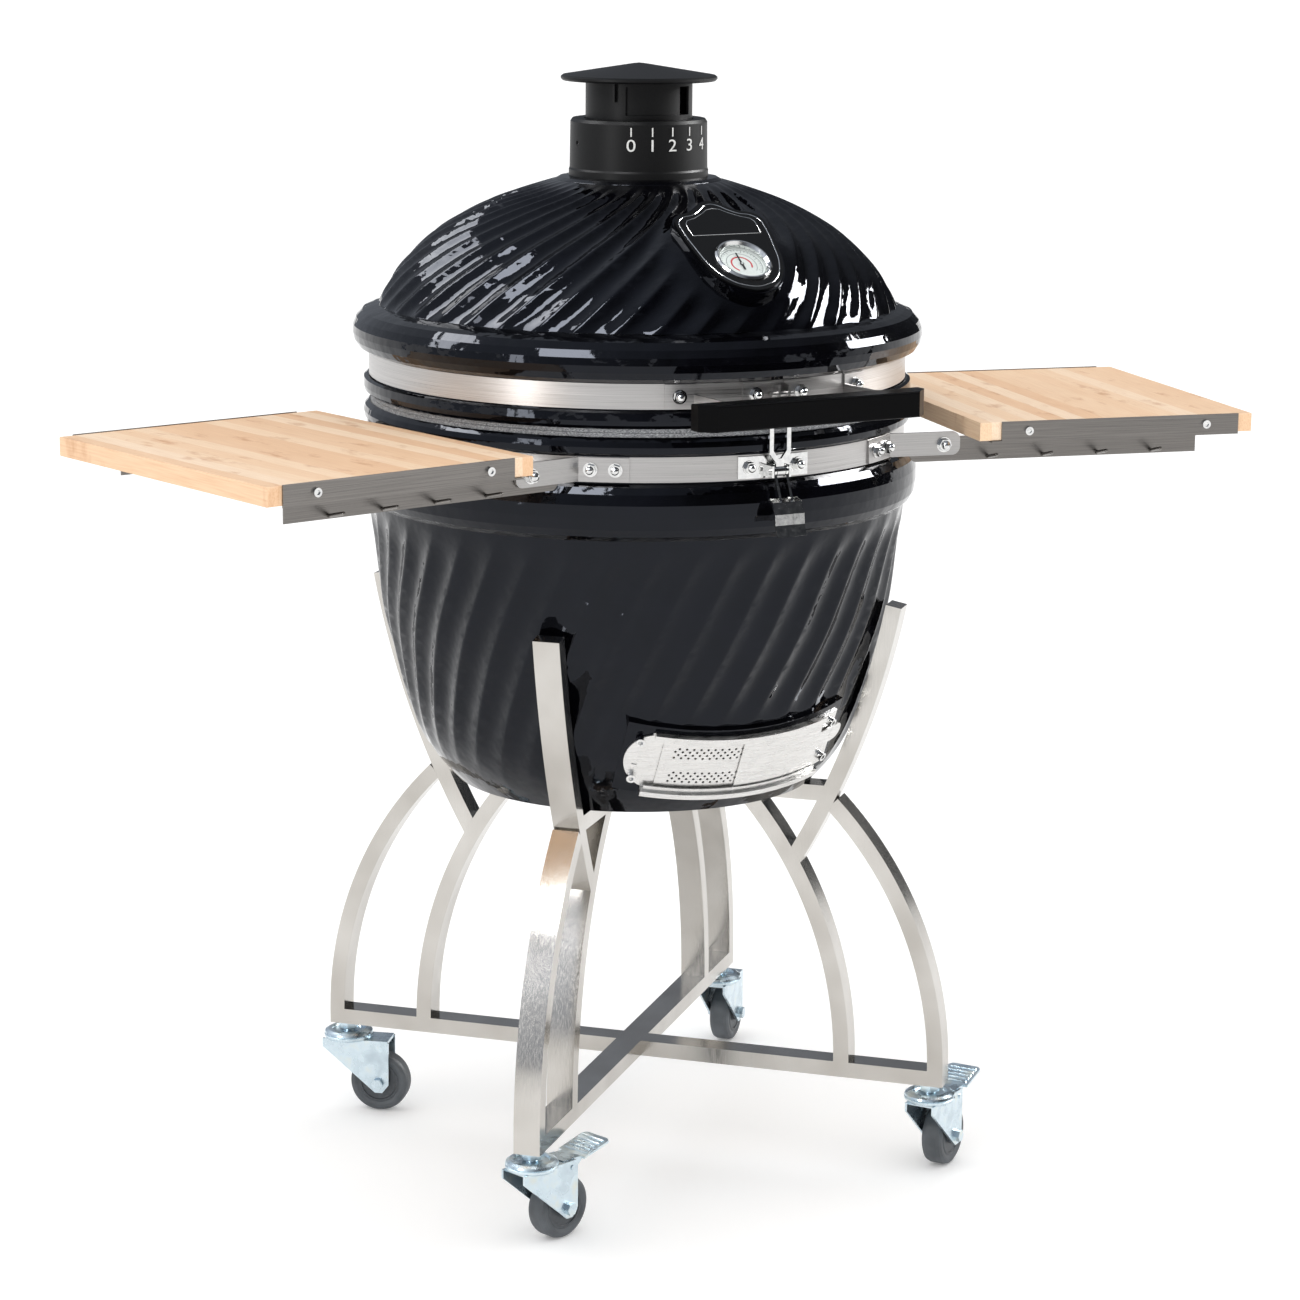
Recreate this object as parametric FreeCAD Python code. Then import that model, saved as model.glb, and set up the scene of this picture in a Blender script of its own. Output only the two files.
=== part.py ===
import FreeCAD, Part
import math
import os

os.makedirs("parts", exist_ok=True)

# Kamado ceramic grill on a wheeled stand, in millimetres.
# The origin is on the floor under the grill's vertical axis. +Z is up.
# The front, with the draft door, latch, handle and thermometer, faces -Y. +X is the user's right.

# ---- driving dimensions -------------------------------------------------------------------
# the body's radius at its steel bands, which the stand, the shelves and the fittings follow
band_radius = 268.0
# casters
wheel_radius = 31.5
wheel_width = 22.0
hub_radius = 22.0
axle_radius = 4.0
caster_trail = 35.0
caster_height = 96.0
caster_disc_radius = 26.0
stem_radius = 6.0
fork_gap = 27.0
fork_plate = 2.4
run_clearance = 0.05
side_clearance = 0.6
slide_clearance = 0.45
trail_angle = {"rear_left": -37.5, "front_left": 18.5, "front_right": 33.5, "rear_right": 44.5}
# stand
tube_width = 26.7
tube_thick = 16.0
tube_wall = 1.5
bar_reach = band_radius + 65.6
caster_ring = bar_reach - 15.6
outer_leg_radius = 383.0
inner_leg_radius = 412.0
inner_leg_foot = band_radius - 40.5
cradle_bar_z = 385.0
strut_top = (band_radius + 4.0, 589.0)
strut_mid = (band_radius - 27.0, 472.0)
strut_bottom = (band_radius - 89.5, 330.5)
# ceramic body and lid
wall = 24.0
seat_z = cradle_bar_z + tube_thick
band_thick = 1.4
band_height = 24.0
lower_band_z = 740.5
upper_band_z = 809.5
base_top_z = 783.0
gasket_thick = 3.8
gasket_gap = 0.5
lip_radius = band_radius + 5.6
rim_radius = band_radius + 13.0
rim_low_z = 690.0
flange_radius = band_radius + 16.0
flange_low_z = 834.0
flange_high_z = 877.0
bore_radius = band_radius - wall
neck_z = 1003.0
neck_radius = 76.5
vent_radius = 45.0
flute_count = 42
flute_depth = 5.4
flute_sharpness = 1.0
steps_per_flute = 8
lid_twist = 48.0
base_twist_per_mm = 0.105
# chimney
collar_radius = 68.3
collar_height = 56.0
sleeve_radius = 50.0
cap_wall_radius = 52.8
cap_radius = 77.3
cap_window_z = 1066.0
cap_rim_z = 1099.0
cap_apex_z = 1115.0
window_low = -41.7
window_span = 81.7
sleeve_open = 25.5
# thermometer badge, on a plane that leans back
badge_x = -4.2
badge_y = 46.4 - band_radius
badge_z = 939.7
badge_lean = 55.0
badge_thick = 2.2
dial_radius = 27.5
dial_face_radius = 23.0
# handle
handle_front = band_radius + 77.0
handle_depth = 27.0
handle_half = 123.0
handle_bevel = 14.0
handle_z = 801.0
handle_height = 24.6
bracket_x = 81.0
# how far the lid's band and the latch are turned from dead front
lid_front_turn = 2.0
latch_turn = 1.3
# rear hinge
hinge_y = band_radius + 69.6
hinge_z = 800.0
hinge_pin_radius = 5.0
hinge_half = 52.0
hinge_bolt_angle = 7.2
# latch
latch_y = band_radius + 11.0
latch_z = 749.0
latch_pin_radius = 2.5
# draft door
draft_y = band_radius - 42.0
draft_z = 456.0
draft_lean = 26.2
draft_radius = band_radius - 18.0
draft_height = 67.0
draft_half_angle = 21.9
screen_thick = 1.0
door_thick = 1.2
# side shelves
sweep = 11.4
board_in = band_radius + 20.0
board_long = 288.0
board_front = 209.0
board_back = -149.0
board_thick = 18.0
board_top_z = 777.0
arm_plane = 172.0
arm_thick = 3.0
rail_thick = 1.6
fold_u = band_radius - 4.0
fold_z = 751.5
pivot_radius = 4.0
hook_count = 4
hook_pitch = 58.0
hook_reach = 24.0
hook_rise = 13.0


# ---- small helpers ------------------------------------------------------------------------
def vec(x, y, z):
    return FreeCAD.Vector(x, y, z)


AXIS = vec(0, 0, 1)
ZERO = vec(0, 0, 0)


def save(shape, name):
    shape.exportStep("parts/" + name + ".step")


def group(shapes):
    solids = []
    for shape in shapes:
        solids.extend(shape.Solids)
    return Part.makeCompound(solids)


def biggest(shape):
    return max(shape.Solids, key=lambda solid: solid.Volume)


def fused(shapes):
    result = shapes[0]
    for shape in shapes[1:]:
        result = result.fuse(shape)
    return result.removeSplitter()


def block(x0, x1, y0, y1, z0, z1):
    return Part.makeBox(x1 - x0, y1 - y0, z1 - z0, vec(x0, y0, z0))


def rod(radius, start, end):
    way = end.sub(start)
    return Part.makeCylinder(radius, way.Length, start, way)


def turned(shape, angle, centre=ZERO, axis=AXIS):
    copy = shape.copy()
    copy.rotate(centre, axis, angle)
    return copy


def moved(shape, x, y, z):
    copy = shape.copy()
    copy.translate(vec(x, y, z))
    return copy


def spun(points):
    # a full turn about Z of a closed outline given as (radius, height)
    nodes = [vec(r, 0, z) for r, z in points]
    face = Part.Face(Part.makePolygon(nodes + [nodes[0]]))
    return face.revolve(ZERO, AXIS, 360)


def ring(outer, inner, z0, z1):
    return spun([(inner, z0), (outer, z0), (outer, z1), (inner, z1)])


def sector(outer, inner, z0, z1, low, high):
    # part of a ring between two angles measured from the front (-Y) towards +X
    nodes = [vec(inner, 0, z0), vec(outer, 0, z0), vec(outer, 0, z1), vec(inner, 0, z1)]
    face = Part.Face(Part.makePolygon(nodes + [nodes[0]]))
    face.rotate(ZERO, AXIS, low - 90)
    return face.revolve(ZERO, AXIS, high - low)


def plate(points, normal, thick):
    face = Part.Face(Part.makePolygon(points + [points[0]]))
    return face.extrude(normal.multiply(thick))


def hexagon(centre, axis, flats, height):
    prism = Part.makeCylinder(flats / math.sqrt(3), height)
    side = flats / math.sqrt(3)
    nodes = []
    for step in range(6):
        turn = math.radians(60 * step)
        nodes.append(vec(side * math.cos(turn), side * math.sin(turn), 0))
    prism = Part.Face(Part.makePolygon(nodes + [nodes[0]])).extrude(vec(0, 0, height))
    prism.Placement = FreeCAD.Placement(centre, FreeCAD.Rotation(AXIS, axis))
    return prism


def dome_nut(centre, axis, flats=10.0):
    # a hexagon with a rounded cap and a washer under it
    way = vec(axis.x, axis.y, axis.z)
    way.normalize()
    washer = Part.makeCylinder(flats * 0.68, 1.0, centre, way)
    body = hexagon(centre + way * 1.0, way, flats, flats * 0.42)
    dome = Part.makeSphere(flats * 0.42, centre + way * (1.0 + flats * 0.42))
    return washer.fuse(body).fuse(dome).removeSplitter()


def socket_screw(centre, axis, radius, height):
    way = vec(axis.x, axis.y, axis.z)
    way.normalize()
    head = Part.makeCylinder(radius, height, centre, way)
    socket = hexagon(centre + way * (height * 0.45), way, radius, height)
    return head.cut(socket)


def front_point(radius, angle, z):
    turn = math.radians(angle)
    return vec(radius * math.sin(turn), -radius * math.cos(turn), z)


def circle_through(a, b, c):
    ax, ay = a
    bx, by = b
    cx, cy = c
    d = 2 * (ax * (by - cy) + bx * (cy - ay) + cx * (ay - by))
    sa = ax * ax + ay * ay
    sb = bx * bx + by * by
    sc = cx * cx + cy * cy
    ux = (sa * (by - cy) + sb * (cy - ay) + sc * (ay - by)) / d
    uy = (sa * (cx - bx) + sb * (ax - cx) + sc * (bx - ax)) / d
    return ux, uy, math.hypot(ax - ux, ay - uy)


# ---- stand --------------------------------------------------------------------------------
# Rectangular stainless tube, drawn in the plane X = outwards, Z = up, then turned to each corner.
corner_angle = {"rear_left": 135.0, "front_left": 225.0, "front_right": 315.0, "rear_right": 45.0}


def arc_bar(cx, cz, radius, low, high, width, thick):
    # a bar of rectangular section bent to a circular arc, angles in degrees from +X up
    turn = math.radians(low)
    out = vec(math.cos(turn), 0, math.sin(turn))
    middle = vec(cx, 0, cz) + out * radius
    side = vec(0, width / 2, 0)
    half = out * (thick / 2)
    nodes = [middle - half - side, middle + half - side, middle + half + side, middle - half + side]
    face = Part.Face(Part.makePolygon(nodes + [nodes[0]]))
    return face.revolve(vec(cx, 0, cz), vec(0, -1, 0), high - low)


def arc_tube(cx, cz, radius, low, high):
    outside = arc_bar(cx, cz, radius, low, high, tube_width, tube_thick)
    inner_width = tube_width - 2 * tube_wall
    inner_thick = tube_thick - 2 * tube_wall
    cap = math.degrees(tube_wall / radius)
    inside = arc_bar(cx, cz, radius, low + cap, high - cap, inner_width, inner_thick)
    return outside, inside


def straight_tube(x0, x1, z0):
    half = tube_width / 2
    outside = block(x0, x1, -half, half, z0, z0 + tube_thick)
    inside = block(x0 + tube_wall, x1 - tube_wall, tube_wall - half, half - tube_wall,
                   z0 + tube_wall, z0 + tube_thick - tube_wall)
    return outside, inside


bar_z = caster_height
leg_foot_z = bar_z + tube_thick
outer_leg_foot = bar_reach - tube_thick / 2

outer_arc = (outer_leg_foot - outer_leg_radius, leg_foot_z, outer_leg_radius)
inner_arc = (inner_leg_foot - inner_leg_radius, leg_foot_z, inner_leg_radius)
strut_arc = circle_through(strut_top, strut_mid, strut_bottom)
strut_low = math.degrees(math.atan2(strut_bottom[1] - strut_arc[1], strut_bottom[0] - strut_arc[0]))
strut_high = math.degrees(math.atan2(strut_top[1] - strut_arc[1], strut_top[0] - strut_arc[0]))

inner_full, inner_void = arc_tube(*inner_arc, 0.0, 45.0)
below_cradle = block(0, bar_reach, -tube_width, tube_width, 0, cradle_bar_z)
strut_full, strut_void = arc_tube(*strut_arc, strut_low - 1.0, strut_high)
outer_full, outer_void = arc_tube(*outer_arc, 0.0, 45.0)
inner_leg = biggest(inner_full.cut(inner_void).common(below_cradle))
strut = biggest(strut_full.cut(strut_void).cut(inner_full))
outer_leg = outer_full.cut(outer_void).cut(strut_full)
outer_leg = min(outer_leg.Solids, key=lambda solid: solid.BoundBox.ZMin)

cradle_full, cradle_void = straight_tube(tube_width / 2, strut_arc[0] + strut_arc[2], cradle_bar_z)
cradle_arm = cradle_full.cut(cradle_void).cut(strut_full)
cradle_arm = min(cradle_arm.Solids, key=lambda solid: solid.BoundBox.XMin)
through_full = block(-tube_width / 2, tube_width / 2, -tube_width / 2, tube_width / 2,
                     cradle_bar_z, cradle_bar_z + tube_thick)
arm_full, arm_void = straight_tube(tube_width / 2, bar_reach, bar_z)
base_half = arm_full.cut(arm_void)
full_out, full_in = straight_tube(-bar_reach, bar_reach, bar_z)
base_long = full_out.cut(full_in)

save(group([turned(outer_leg, a) for a in corner_angle.values()]), "outer_legs")
save(group([turned(inner_leg, a) for a in corner_angle.values()]), "inner_legs")
save(group([turned(strut, a) for a in corner_angle.values()]), "cradle_struts")
cradle_arms = [turned(cradle_arm, a) for a in corner_angle.values()]
save(group([turned(through_full, 45.0)] + cradle_arms), "cradle_bars")
save(group([turned(base_long, 45.0), turned(base_half, 135.0), turned(base_half, 315.0)]), "base_bars")

# ---- casters ------------------------------------------------------------------------------
# Drawn at the swivel axis with the wheel trailing along +X, then placed at each corner.
race_low = caster_height - 18.0
race_high = caster_height - 8.0
wheel_half = wheel_width / 2
fork_inner = fork_gap / 2
fork_outer = fork_inner + fork_plate
plate_end = caster_trail + 12.0

stem = Part.makeCylinder(stem_radius, caster_height - race_low - 2.0, vec(0, 0, race_low + 2.0))
stem_nut = hexagon(vec(0, 0, race_high + side_clearance), AXIS, 19.0,
                   caster_height - race_high - side_clearance)
caster_top = stem.fuse(stem_nut).removeSplitter()

race = spun([(stem_radius + run_clearance, race_low), (caster_disc_radius - 2, race_low),
             (caster_disc_radius, race_low + 2), (caster_disc_radius, race_low + 4),
             (caster_disc_radius - 1.2, race_low + 4.8), (caster_disc_radius, race_low + 5.6),
             (caster_disc_radius - 0.8, race_low + 7.6), (caster_disc_radius - 4, race_high - 0.6),
             (caster_disc_radius - 8, race_high), (caster_disc_radius - 9, race_high - 2.2),
             (stem_radius + run_clearance, race_high - 2.2)])


def fork_side(y0, y1):
    outline = [vec(-caster_disc_radius + 1, y0, race_low + 1),
               vec(-caster_disc_radius + 1, y0, race_low - 8), vec(caster_trail - 9, y0, wheel_radius - 5),
               vec(caster_trail - 3, y0, wheel_radius - 10), vec(caster_trail + 5, y0, wheel_radius - 10),
               vec(plate_end, y0, wheel_radius - 1), vec(plate_end, y0, race_low - 1),
               vec(plate_end - 2, y0, race_low + 1)]
    return plate(outline, vec(0, 1, 0), y1 - y0)


def fork_shape(braked):
    deck_end = caster_trail - 6.0 if braked else plate_end - 1.0
    deck = block(-caster_disc_radius + 6, deck_end, -fork_outer, fork_outer, race_low - 2.2, race_low + 1)
    deck = deck.cut(Part.makeCylinder(stem_radius + 1.0, 20, vec(0, 0, race_low - 12)))
    left = fork_side(-fork_outer, -fork_inner)
    right = fork_side(fork_inner, fork_outer)
    fork = fused([race, deck, left, right])
    for x, z, radius in ((caster_trail, wheel_radius, axle_radius),):
        fork = fork.cut(rod(radius, vec(x, -40, z), vec(x, 40, z)))
    if braked:
        fork = fork.cut(rod(2.5, vec(caster_trail + 5, -40, race_low - 6),
                            vec(caster_trail + 5, 40, race_low - 6)))
    axle = rod(axle_radius, vec(caster_trail, -fork_outer - 1, wheel_radius),
               vec(caster_trail, fork_outer + 1, wheel_radius))
    head = hexagon(vec(caster_trail, fork_outer, wheel_radius), vec(0, 1, 0), 11.0, 4.0)
    nut = hexagon(vec(caster_trail, -fork_outer, wheel_radius), vec(0, -1, 0), 11.0, 5.0)
    bolt = fused([axle, head, nut])
    solids = [fork, bolt]
    if braked:
        solids.append(rod(2.5, vec(caster_trail + 5, -fork_outer - 1, race_low - 6),
                          vec(caster_trail + 5, fork_outer + 1, race_low - 6)))
    return solids


def pedal_shape():
    # a pressed tread that rocks on a cross pin between the fork's cheeks
    pin_x = caster_trail + 5
    pin_z = race_low - 6
    half = fork_inner - side_clearance
    top = race_low + 1.6
    deck = block(caster_trail - 4, caster_trail + 24, -half, half, top - 2, top)
    cheeks = []
    for y0, y1 in ((-half, -half + 2), (half - 2, half)):
        outline = [vec(pin_x - 6, y0, top - 1), vec(pin_x - 6, y0, pin_z - 4),
                   vec(pin_x - 3, y0, pin_z - 6), vec(pin_x + 4, y0, pin_z - 6),
                   vec(pin_x + 18, y0, top - 1)]
        cheeks.append(plate(outline, vec(0, 1, 0), y1 - y0))
    wide = half + 5
    outline = [vec(caster_trail + 19, -wide, top - 2), vec(caster_trail + 19, -wide, top),
               vec(caster_trail + 55, -wide, top + 9), vec(caster_trail + 56, -wide, top + 7)]
    pad = plate(outline, vec(0, 1, 0), 2 * wide)
    corners = [e for e in pad.Edges if abs(e.BoundBox.XLength) < 2 and e.BoundBox.YLength < 0.1
               and e.BoundBox.XMin > caster_trail + 50]
    pad = pad.makeFillet(6.0, corners)
    ribs = []
    for step in range(5):
        x = caster_trail + 25 + 6.0 * step
        z = top + 0.25 * (x - caster_trail - 19)
        ribs.append(rod(1.1, vec(x, -wide + 4, z + 0.1), vec(x, wide - 4, z + 0.1)))
    pedal = fused([deck, pad] + cheeks + ribs)
    return pedal.cut(rod(2.5 + run_clearance, vec(pin_x, -40, pin_z), vec(pin_x, 40, pin_z)))


tyre = spun([(hub_radius, -wheel_half + 1), (hub_radius + 3, -wheel_half), (wheel_radius - 4, -wheel_half),
             (wheel_radius - 1.2, -wheel_half + 1.6), (wheel_radius, -wheel_half + 5),
             (wheel_radius, wheel_half - 5), (wheel_radius - 1.2, wheel_half - 1.6),
             (wheel_radius - 4, wheel_half), (hub_radius + 3, wheel_half), (hub_radius, wheel_half - 1)])
hub = spun([(axle_radius + run_clearance, -wheel_half - 0.8), (9, -wheel_half - 0.8),
            (9.5, -wheel_half + 1.5), (hub_radius - 3.4, -wheel_half + 1.5),
            (hub_radius - 3.0, -wheel_half + 0.2), (hub_radius - 1.6, -wheel_half + 0.2),
            (hub_radius, -wheel_half + 1.0), (hub_radius, wheel_half - 1.0),
            (hub_radius - 1.6, wheel_half - 0.2), (hub_radius - 3.0, wheel_half - 0.2),
            (hub_radius - 3.4, wheel_half - 1.5), (9.5, wheel_half - 1.5), (9, wheel_half + 0.8),
            (axle_radius + run_clearance, wheel_half + 0.8)])
tyre.rotate(ZERO, vec(1, 0, 0), 90)
hub.rotate(ZERO, vec(1, 0, 0), 90)
tyre.translate(vec(caster_trail, 0, wheel_radius))
hub.translate(vec(caster_trail, 0, wheel_radius))

tops = []
for name, angle in corner_angle.items():
    turn = math.radians(angle)
    x = caster_ring * math.cos(turn)
    y = caster_ring * math.sin(turn)
    braked = name.startswith("front")
    trail = trail_angle[name]
    tops.append(moved(caster_top, x, y, 0))
    save(group([moved(turned(s, trail), x, y, 0) for s in fork_shape(braked)]), "fork_" + name)
    save(moved(turned(tyre, trail), x, y, 0), "tyre_" + name)
    save(moved(turned(hub, trail), x, y, 0), "hub_" + name)
    if braked:
        save(moved(turned(pedal_shape(), trail), x, y, 0), "pedal_" + name)
save(group(tops), "caster_stems")


# ---- fluted ceramic skins -----------------------------------------------------------------
def smooth_step(low, high, value):
    t = max(0.0, min(1.0, (value - low) / (high - low)))
    return t * t * (3 - 2 * t)


def fluted_solid(profile, rows, twist_of, depth_of):
    # One closed skin on a turned profile. Scallops that meet at raised edges are pushed in along
    # the profile's normal, and every column of the net follows the twist, so the edges stay crisp.
    curve = Part.BSplineCurve()
    curve.interpolate([vec(r, 0, z) for r, z in profile])
    first = curve.FirstParameter
    last = curve.LastParameter
    columns = flute_count * steps_per_flute
    poles = []
    for column in range(columns):
        start = 360.0 * column / columns
        wave = abs(math.sin(math.radians(flute_count * start / 2))) ** flute_sharpness
        line = []
        for row in range(rows + 1):
            along = row / rows
            point = curve.value(first + (last - first) * along)
            way = curve.tangent(first + (last - first) * along)[0]
            out = vec(way.z, 0, -way.x)
            theta = start + twist_of(point.z, along)
            turn = math.radians(theta - 90)
            push = depth_of(point.x, point.z, theta, along) * wave
            r = point.x - out.x * push
            line.append(vec(r * math.cos(turn), r * math.sin(turn), point.z - out.z * push))
        poles.append(line)
    degree = 3
    around = list(range(columns + 1))
    upward = list(range(rows + 2 - degree))
    ends = [degree + 1] + [1] * (len(upward) - 2) + [degree + 1]
    skin = Part.BSplineSurface()
    skin.buildFromPolesMultsKnots(poles, [1] * len(around), ends, around, upward, True, False, degree,
                                  degree)
    face = skin.toShape()
    rings = [edge for edge in face.Edges if edge.isClosed()]
    caps = [Part.Face(Part.Wire([edge])) for edge in rings]
    shell = Part.makeShell([face] + caps)
    shell.sewShape()
    solid = Part.Solid(Part.Shell(shell.Faces))
    if solid.Volume < 0:
        solid.reverse()
    return solid


base_profile = [(band_radius + 2.4, rim_low_z + 4), (band_radius + 1.6, rim_low_z - 8),
                (band_radius + 0.4, 668), (band_radius - 2.4, 650), (band_radius - 6, 618),
                (band_radius - 10.8, 578), (band_radius - 20, 538), (band_radius - 31, 496),
                (band_radius - 44.5, 456), (band_radius - 57, 433), (band_radius - 70, 416),
                (band_radius - 80, seat_z + 4), (band_radius - 84, seat_z)]
base_profile.reverse()


def base_twist(z, along):
    return base_twist_per_mm * (z - seat_z)


def draft_fade(theta, z):
    # the flutes die out under the draft door frame
    side = (theta + 180) % 360 - 180
    beside = abs(side) - (draft_half_angle + 8)
    above = abs(z - draft_z) - draft_height * 0.6
    return smooth_step(0, 1, max(beside / 6.0, above / 22.0))


def base_depth(r, z, theta, along):
    top = 1 - smooth_step(rim_low_z - 34, rim_low_z - 10, z)
    bottom = smooth_step(seat_z + 6, seat_z + 110, z)
    return flute_depth * top * bottom * draft_fade(theta, z)


base_skin = fluted_solid(base_profile, 22, base_twist, base_depth)

lid_profile = [(band_radius - 7.4, flange_high_z - 9), (band_radius - 9, flange_high_z + 1),
               (band_radius - 11.6, 886), (band_radius - 16, 893), (band_radius - 23, 905.5),
               (band_radius - 34.6, 920.5), (band_radius - 47, 933.5), (band_radius - 64.3, 949.0),
               (band_radius - 87.5, 964.0), (band_radius - 118, 979.5), (120.0, 990.5), (95.0, 998.0),
               (neck_radius, neck_z)]


def lid_twist_of(z, along):
    return lid_twist * along


def badge_distance(r, z, theta):
    # how far a lid point is from the badge's middle, measured on the badge plane
    turn = math.radians(theta - 90)
    x = r * math.cos(turn)
    y = r * math.sin(turn)
    lean = math.radians(badge_lean)
    up = (y - badge_y) * math.sin(lean) + (z - badge_z) * math.cos(lean)
    deep = -(y - badge_y) * math.cos(lean) + (z - badge_z) * math.sin(lean)
    return math.sqrt((x - badge_x) * (x - badge_x) * 1.25 + (up - 20) * (up - 20) + deep * deep * 0.3)


def lid_depth(r, z, theta, along):
    low = smooth_step(0.0, 0.10, along)
    high = 1 - smooth_step(0.80, 0.97, along)
    boss = smooth_step(64.0, 92.0, badge_distance(r, z, theta))
    return flute_depth * low * high * boss


lid_skin = fluted_solid(lid_profile, 22, lid_twist_of, lid_depth)


# ---- draft door place: a leaning cylinder that follows the lower body -----------------------
lean = math.radians(draft_lean)
draft_out = vec(0, -math.cos(lean), -math.sin(lean))
draft_up = vec(0, -math.sin(lean), math.cos(lean))
draft_origin = vec(0, -draft_y, draft_z) - draft_out * draft_radius


def on_draft(shape):
    copy = shape.copy()
    copy.rotate(ZERO, vec(1, 0, 0), draft_lean)
    copy.translate(draft_origin)
    return copy


def draft_point(radius, angle, height):
    turn = math.radians(angle)
    return draft_origin + vec(1, 0, 0) * (radius * math.sin(turn)) \
        + draft_out * (radius * math.cos(turn)) + draft_up * height


frame_low = -draft_height / 2
frame_high = draft_height / 2
frame_back = draft_radius - 1.5
mouth_low = -draft_half_angle + 3.4
mouth_high = -2.2
pad_angle = draft_half_angle + 6.5
pad_clear = 7.0
draft_pad = on_draft(sector(frame_back, frame_back - 22, frame_low - pad_clear, frame_high + pad_clear,
                            -pad_angle, pad_angle))
draft_room = on_draft(sector(frame_back + 30, frame_back, frame_low - pad_clear, frame_high + pad_clear,
                             -pad_angle, pad_angle))
draft_hole = on_draft(sector(frame_back + 30, 130, frame_low + 9, frame_high - 9, mouth_low, mouth_high))

# ---- base shell ---------------------------------------------------------------------------
rim_mid = (rim_low_z + lower_band_z - 2) / 2
groove = band_radius - band_thick
base_rim = spun([(band_radius - 68, rim_low_z - 8), (band_radius - 6, rim_low_z - 8),
                 (band_radius - 0, rim_low_z - 6.5), (band_radius + 7.5, rim_low_z),
                 (band_radius + 11.3, rim_low_z + 7), (rim_radius, rim_mid - 6), (rim_radius, rim_mid + 6),
                 (band_radius + 11, lower_band_z - 10), (band_radius + 6.5, lower_band_z - 4),
                 (groove + 2, lower_band_z - 1.5), (groove, lower_band_z - 1.5),
                 (groove, lower_band_z + band_height + 1.5),
                 (groove + 3.5, lower_band_z + band_height + 1.5),
                 (lip_radius - 1, lower_band_z + band_height + 3.5), (lip_radius, base_top_z - 9),
                 (lip_radius - 1.6, base_top_z - 4), (lip_radius - 5.5, base_top_z),
                 (band_radius - 68, base_top_z)])
base_void = spun([(0, seat_z + 26), (band_radius - 110, seat_z + 26), (band_radius - 96, seat_z + 34),
                  (band_radius - 69, 456), (band_radius - 55, 496), (band_radius - 44, 538),
                  (band_radius - 35, 578), (band_radius - 28, 640), (bore_radius, 690),
                  (bore_radius, base_top_z + 5), (0, base_top_z + 5)])
base_shell = base_skin.fuse(base_rim)
base_shell = base_shell.fuse(draft_pad).cut(draft_room).cut(draft_hole).cut(base_void)
base_shell = biggest(base_shell)
save(base_shell, "base_shell")

# ---- fire parts inside the base -----------------------------------------------------------
fit_gap = 5.0
firebox = spun([(0, seat_z + 26), (band_radius - 118, seat_z + 26), (band_radius - 96, 446),
                (band_radius - 69 - fit_gap, 464), (band_radius - 55 - fit_gap, 500),
                (band_radius - 44 - fit_gap, 540), (band_radius - 35 - fit_gap, 582),
                (band_radius - 34 - fit_gap, 610), (band_radius - 56, 610), (band_radius - 60, 560),
                (band_radius - 72, 520), (band_radius - 88, 478), (band_radius - 98, 470), (0, 470)])
ash_mouth = on_draft(sector(frame_back, 60, -22, 20, mouth_low, mouth_high))
ash_room = Part.makeCylinder(120, 30, vec(0, 0, seat_z + 40))
firebox = firebox.cut(ash_mouth).cut(ash_room).cut(Part.makeCylinder(112, 40, vec(0, 0, 455)))
firebox = biggest(firebox)
save(firebox, "firebox")

fire_ring_top = 735.0
fire_ring = spun([(band_radius - 32, 611), (bore_radius - fit_gap - 1, 690),
                  (bore_radius - fit_gap - 1, fire_ring_top), (band_radius - 50, fire_ring_top),
                  (band_radius - 54, 611)])
save(fire_ring, "fire_ring")

grate_radius = 128.0
charcoal_grate = Part.makeCylinder(grate_radius, 5, vec(0, 0, 470.5))
for step in range(9):
    x = -96 + 24 * step
    reach = math.sqrt(max(0, (grate_radius - 14) ** 2 - x * x))
    charcoal_grate = charcoal_grate.cut(block(x - 5, x + 5, -reach, reach, 460, 490))
save(charcoal_grate, "charcoal_grate")

grid_radius = bore_radius - 15.0
grid_z = fire_ring_top + 3.6
wire = 2.5
bars = [Part.makeTorus(grid_radius - 3, 3.5, vec(0, 0, grid_z))]
pitch = 14.0
side_steps = int((grid_radius - 10) / pitch)
for step in range(-side_steps, side_steps + 1):
    x = pitch * step
    reach = math.sqrt((grid_radius - 3) ** 2 - x * x)
    bars.append(rod(wire, vec(x, -reach, grid_z), vec(x, reach, grid_z)))
for x in (-110, 110):
    reach = math.sqrt((grid_radius - 3) ** 2 - x * x)
    bars.append(rod(3.0, vec(-reach, x, grid_z), vec(reach, x, grid_z)))
grid = bars[0].multiFuse(bars[1:])
save(biggest(grid), "cooking_grate")

# ---- gaskets ------------------------------------------------------------------------------
gasket_in = bore_radius + 3
gasket_out = groove
save(ring(gasket_out, gasket_in, base_top_z, base_top_z + gasket_thick), "base_gasket")
lid_low_z = base_top_z + 2 * gasket_thick + gasket_gap
save(ring(gasket_out, gasket_in, lid_low_z - gasket_thick, lid_low_z), "lid_gasket")

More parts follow.
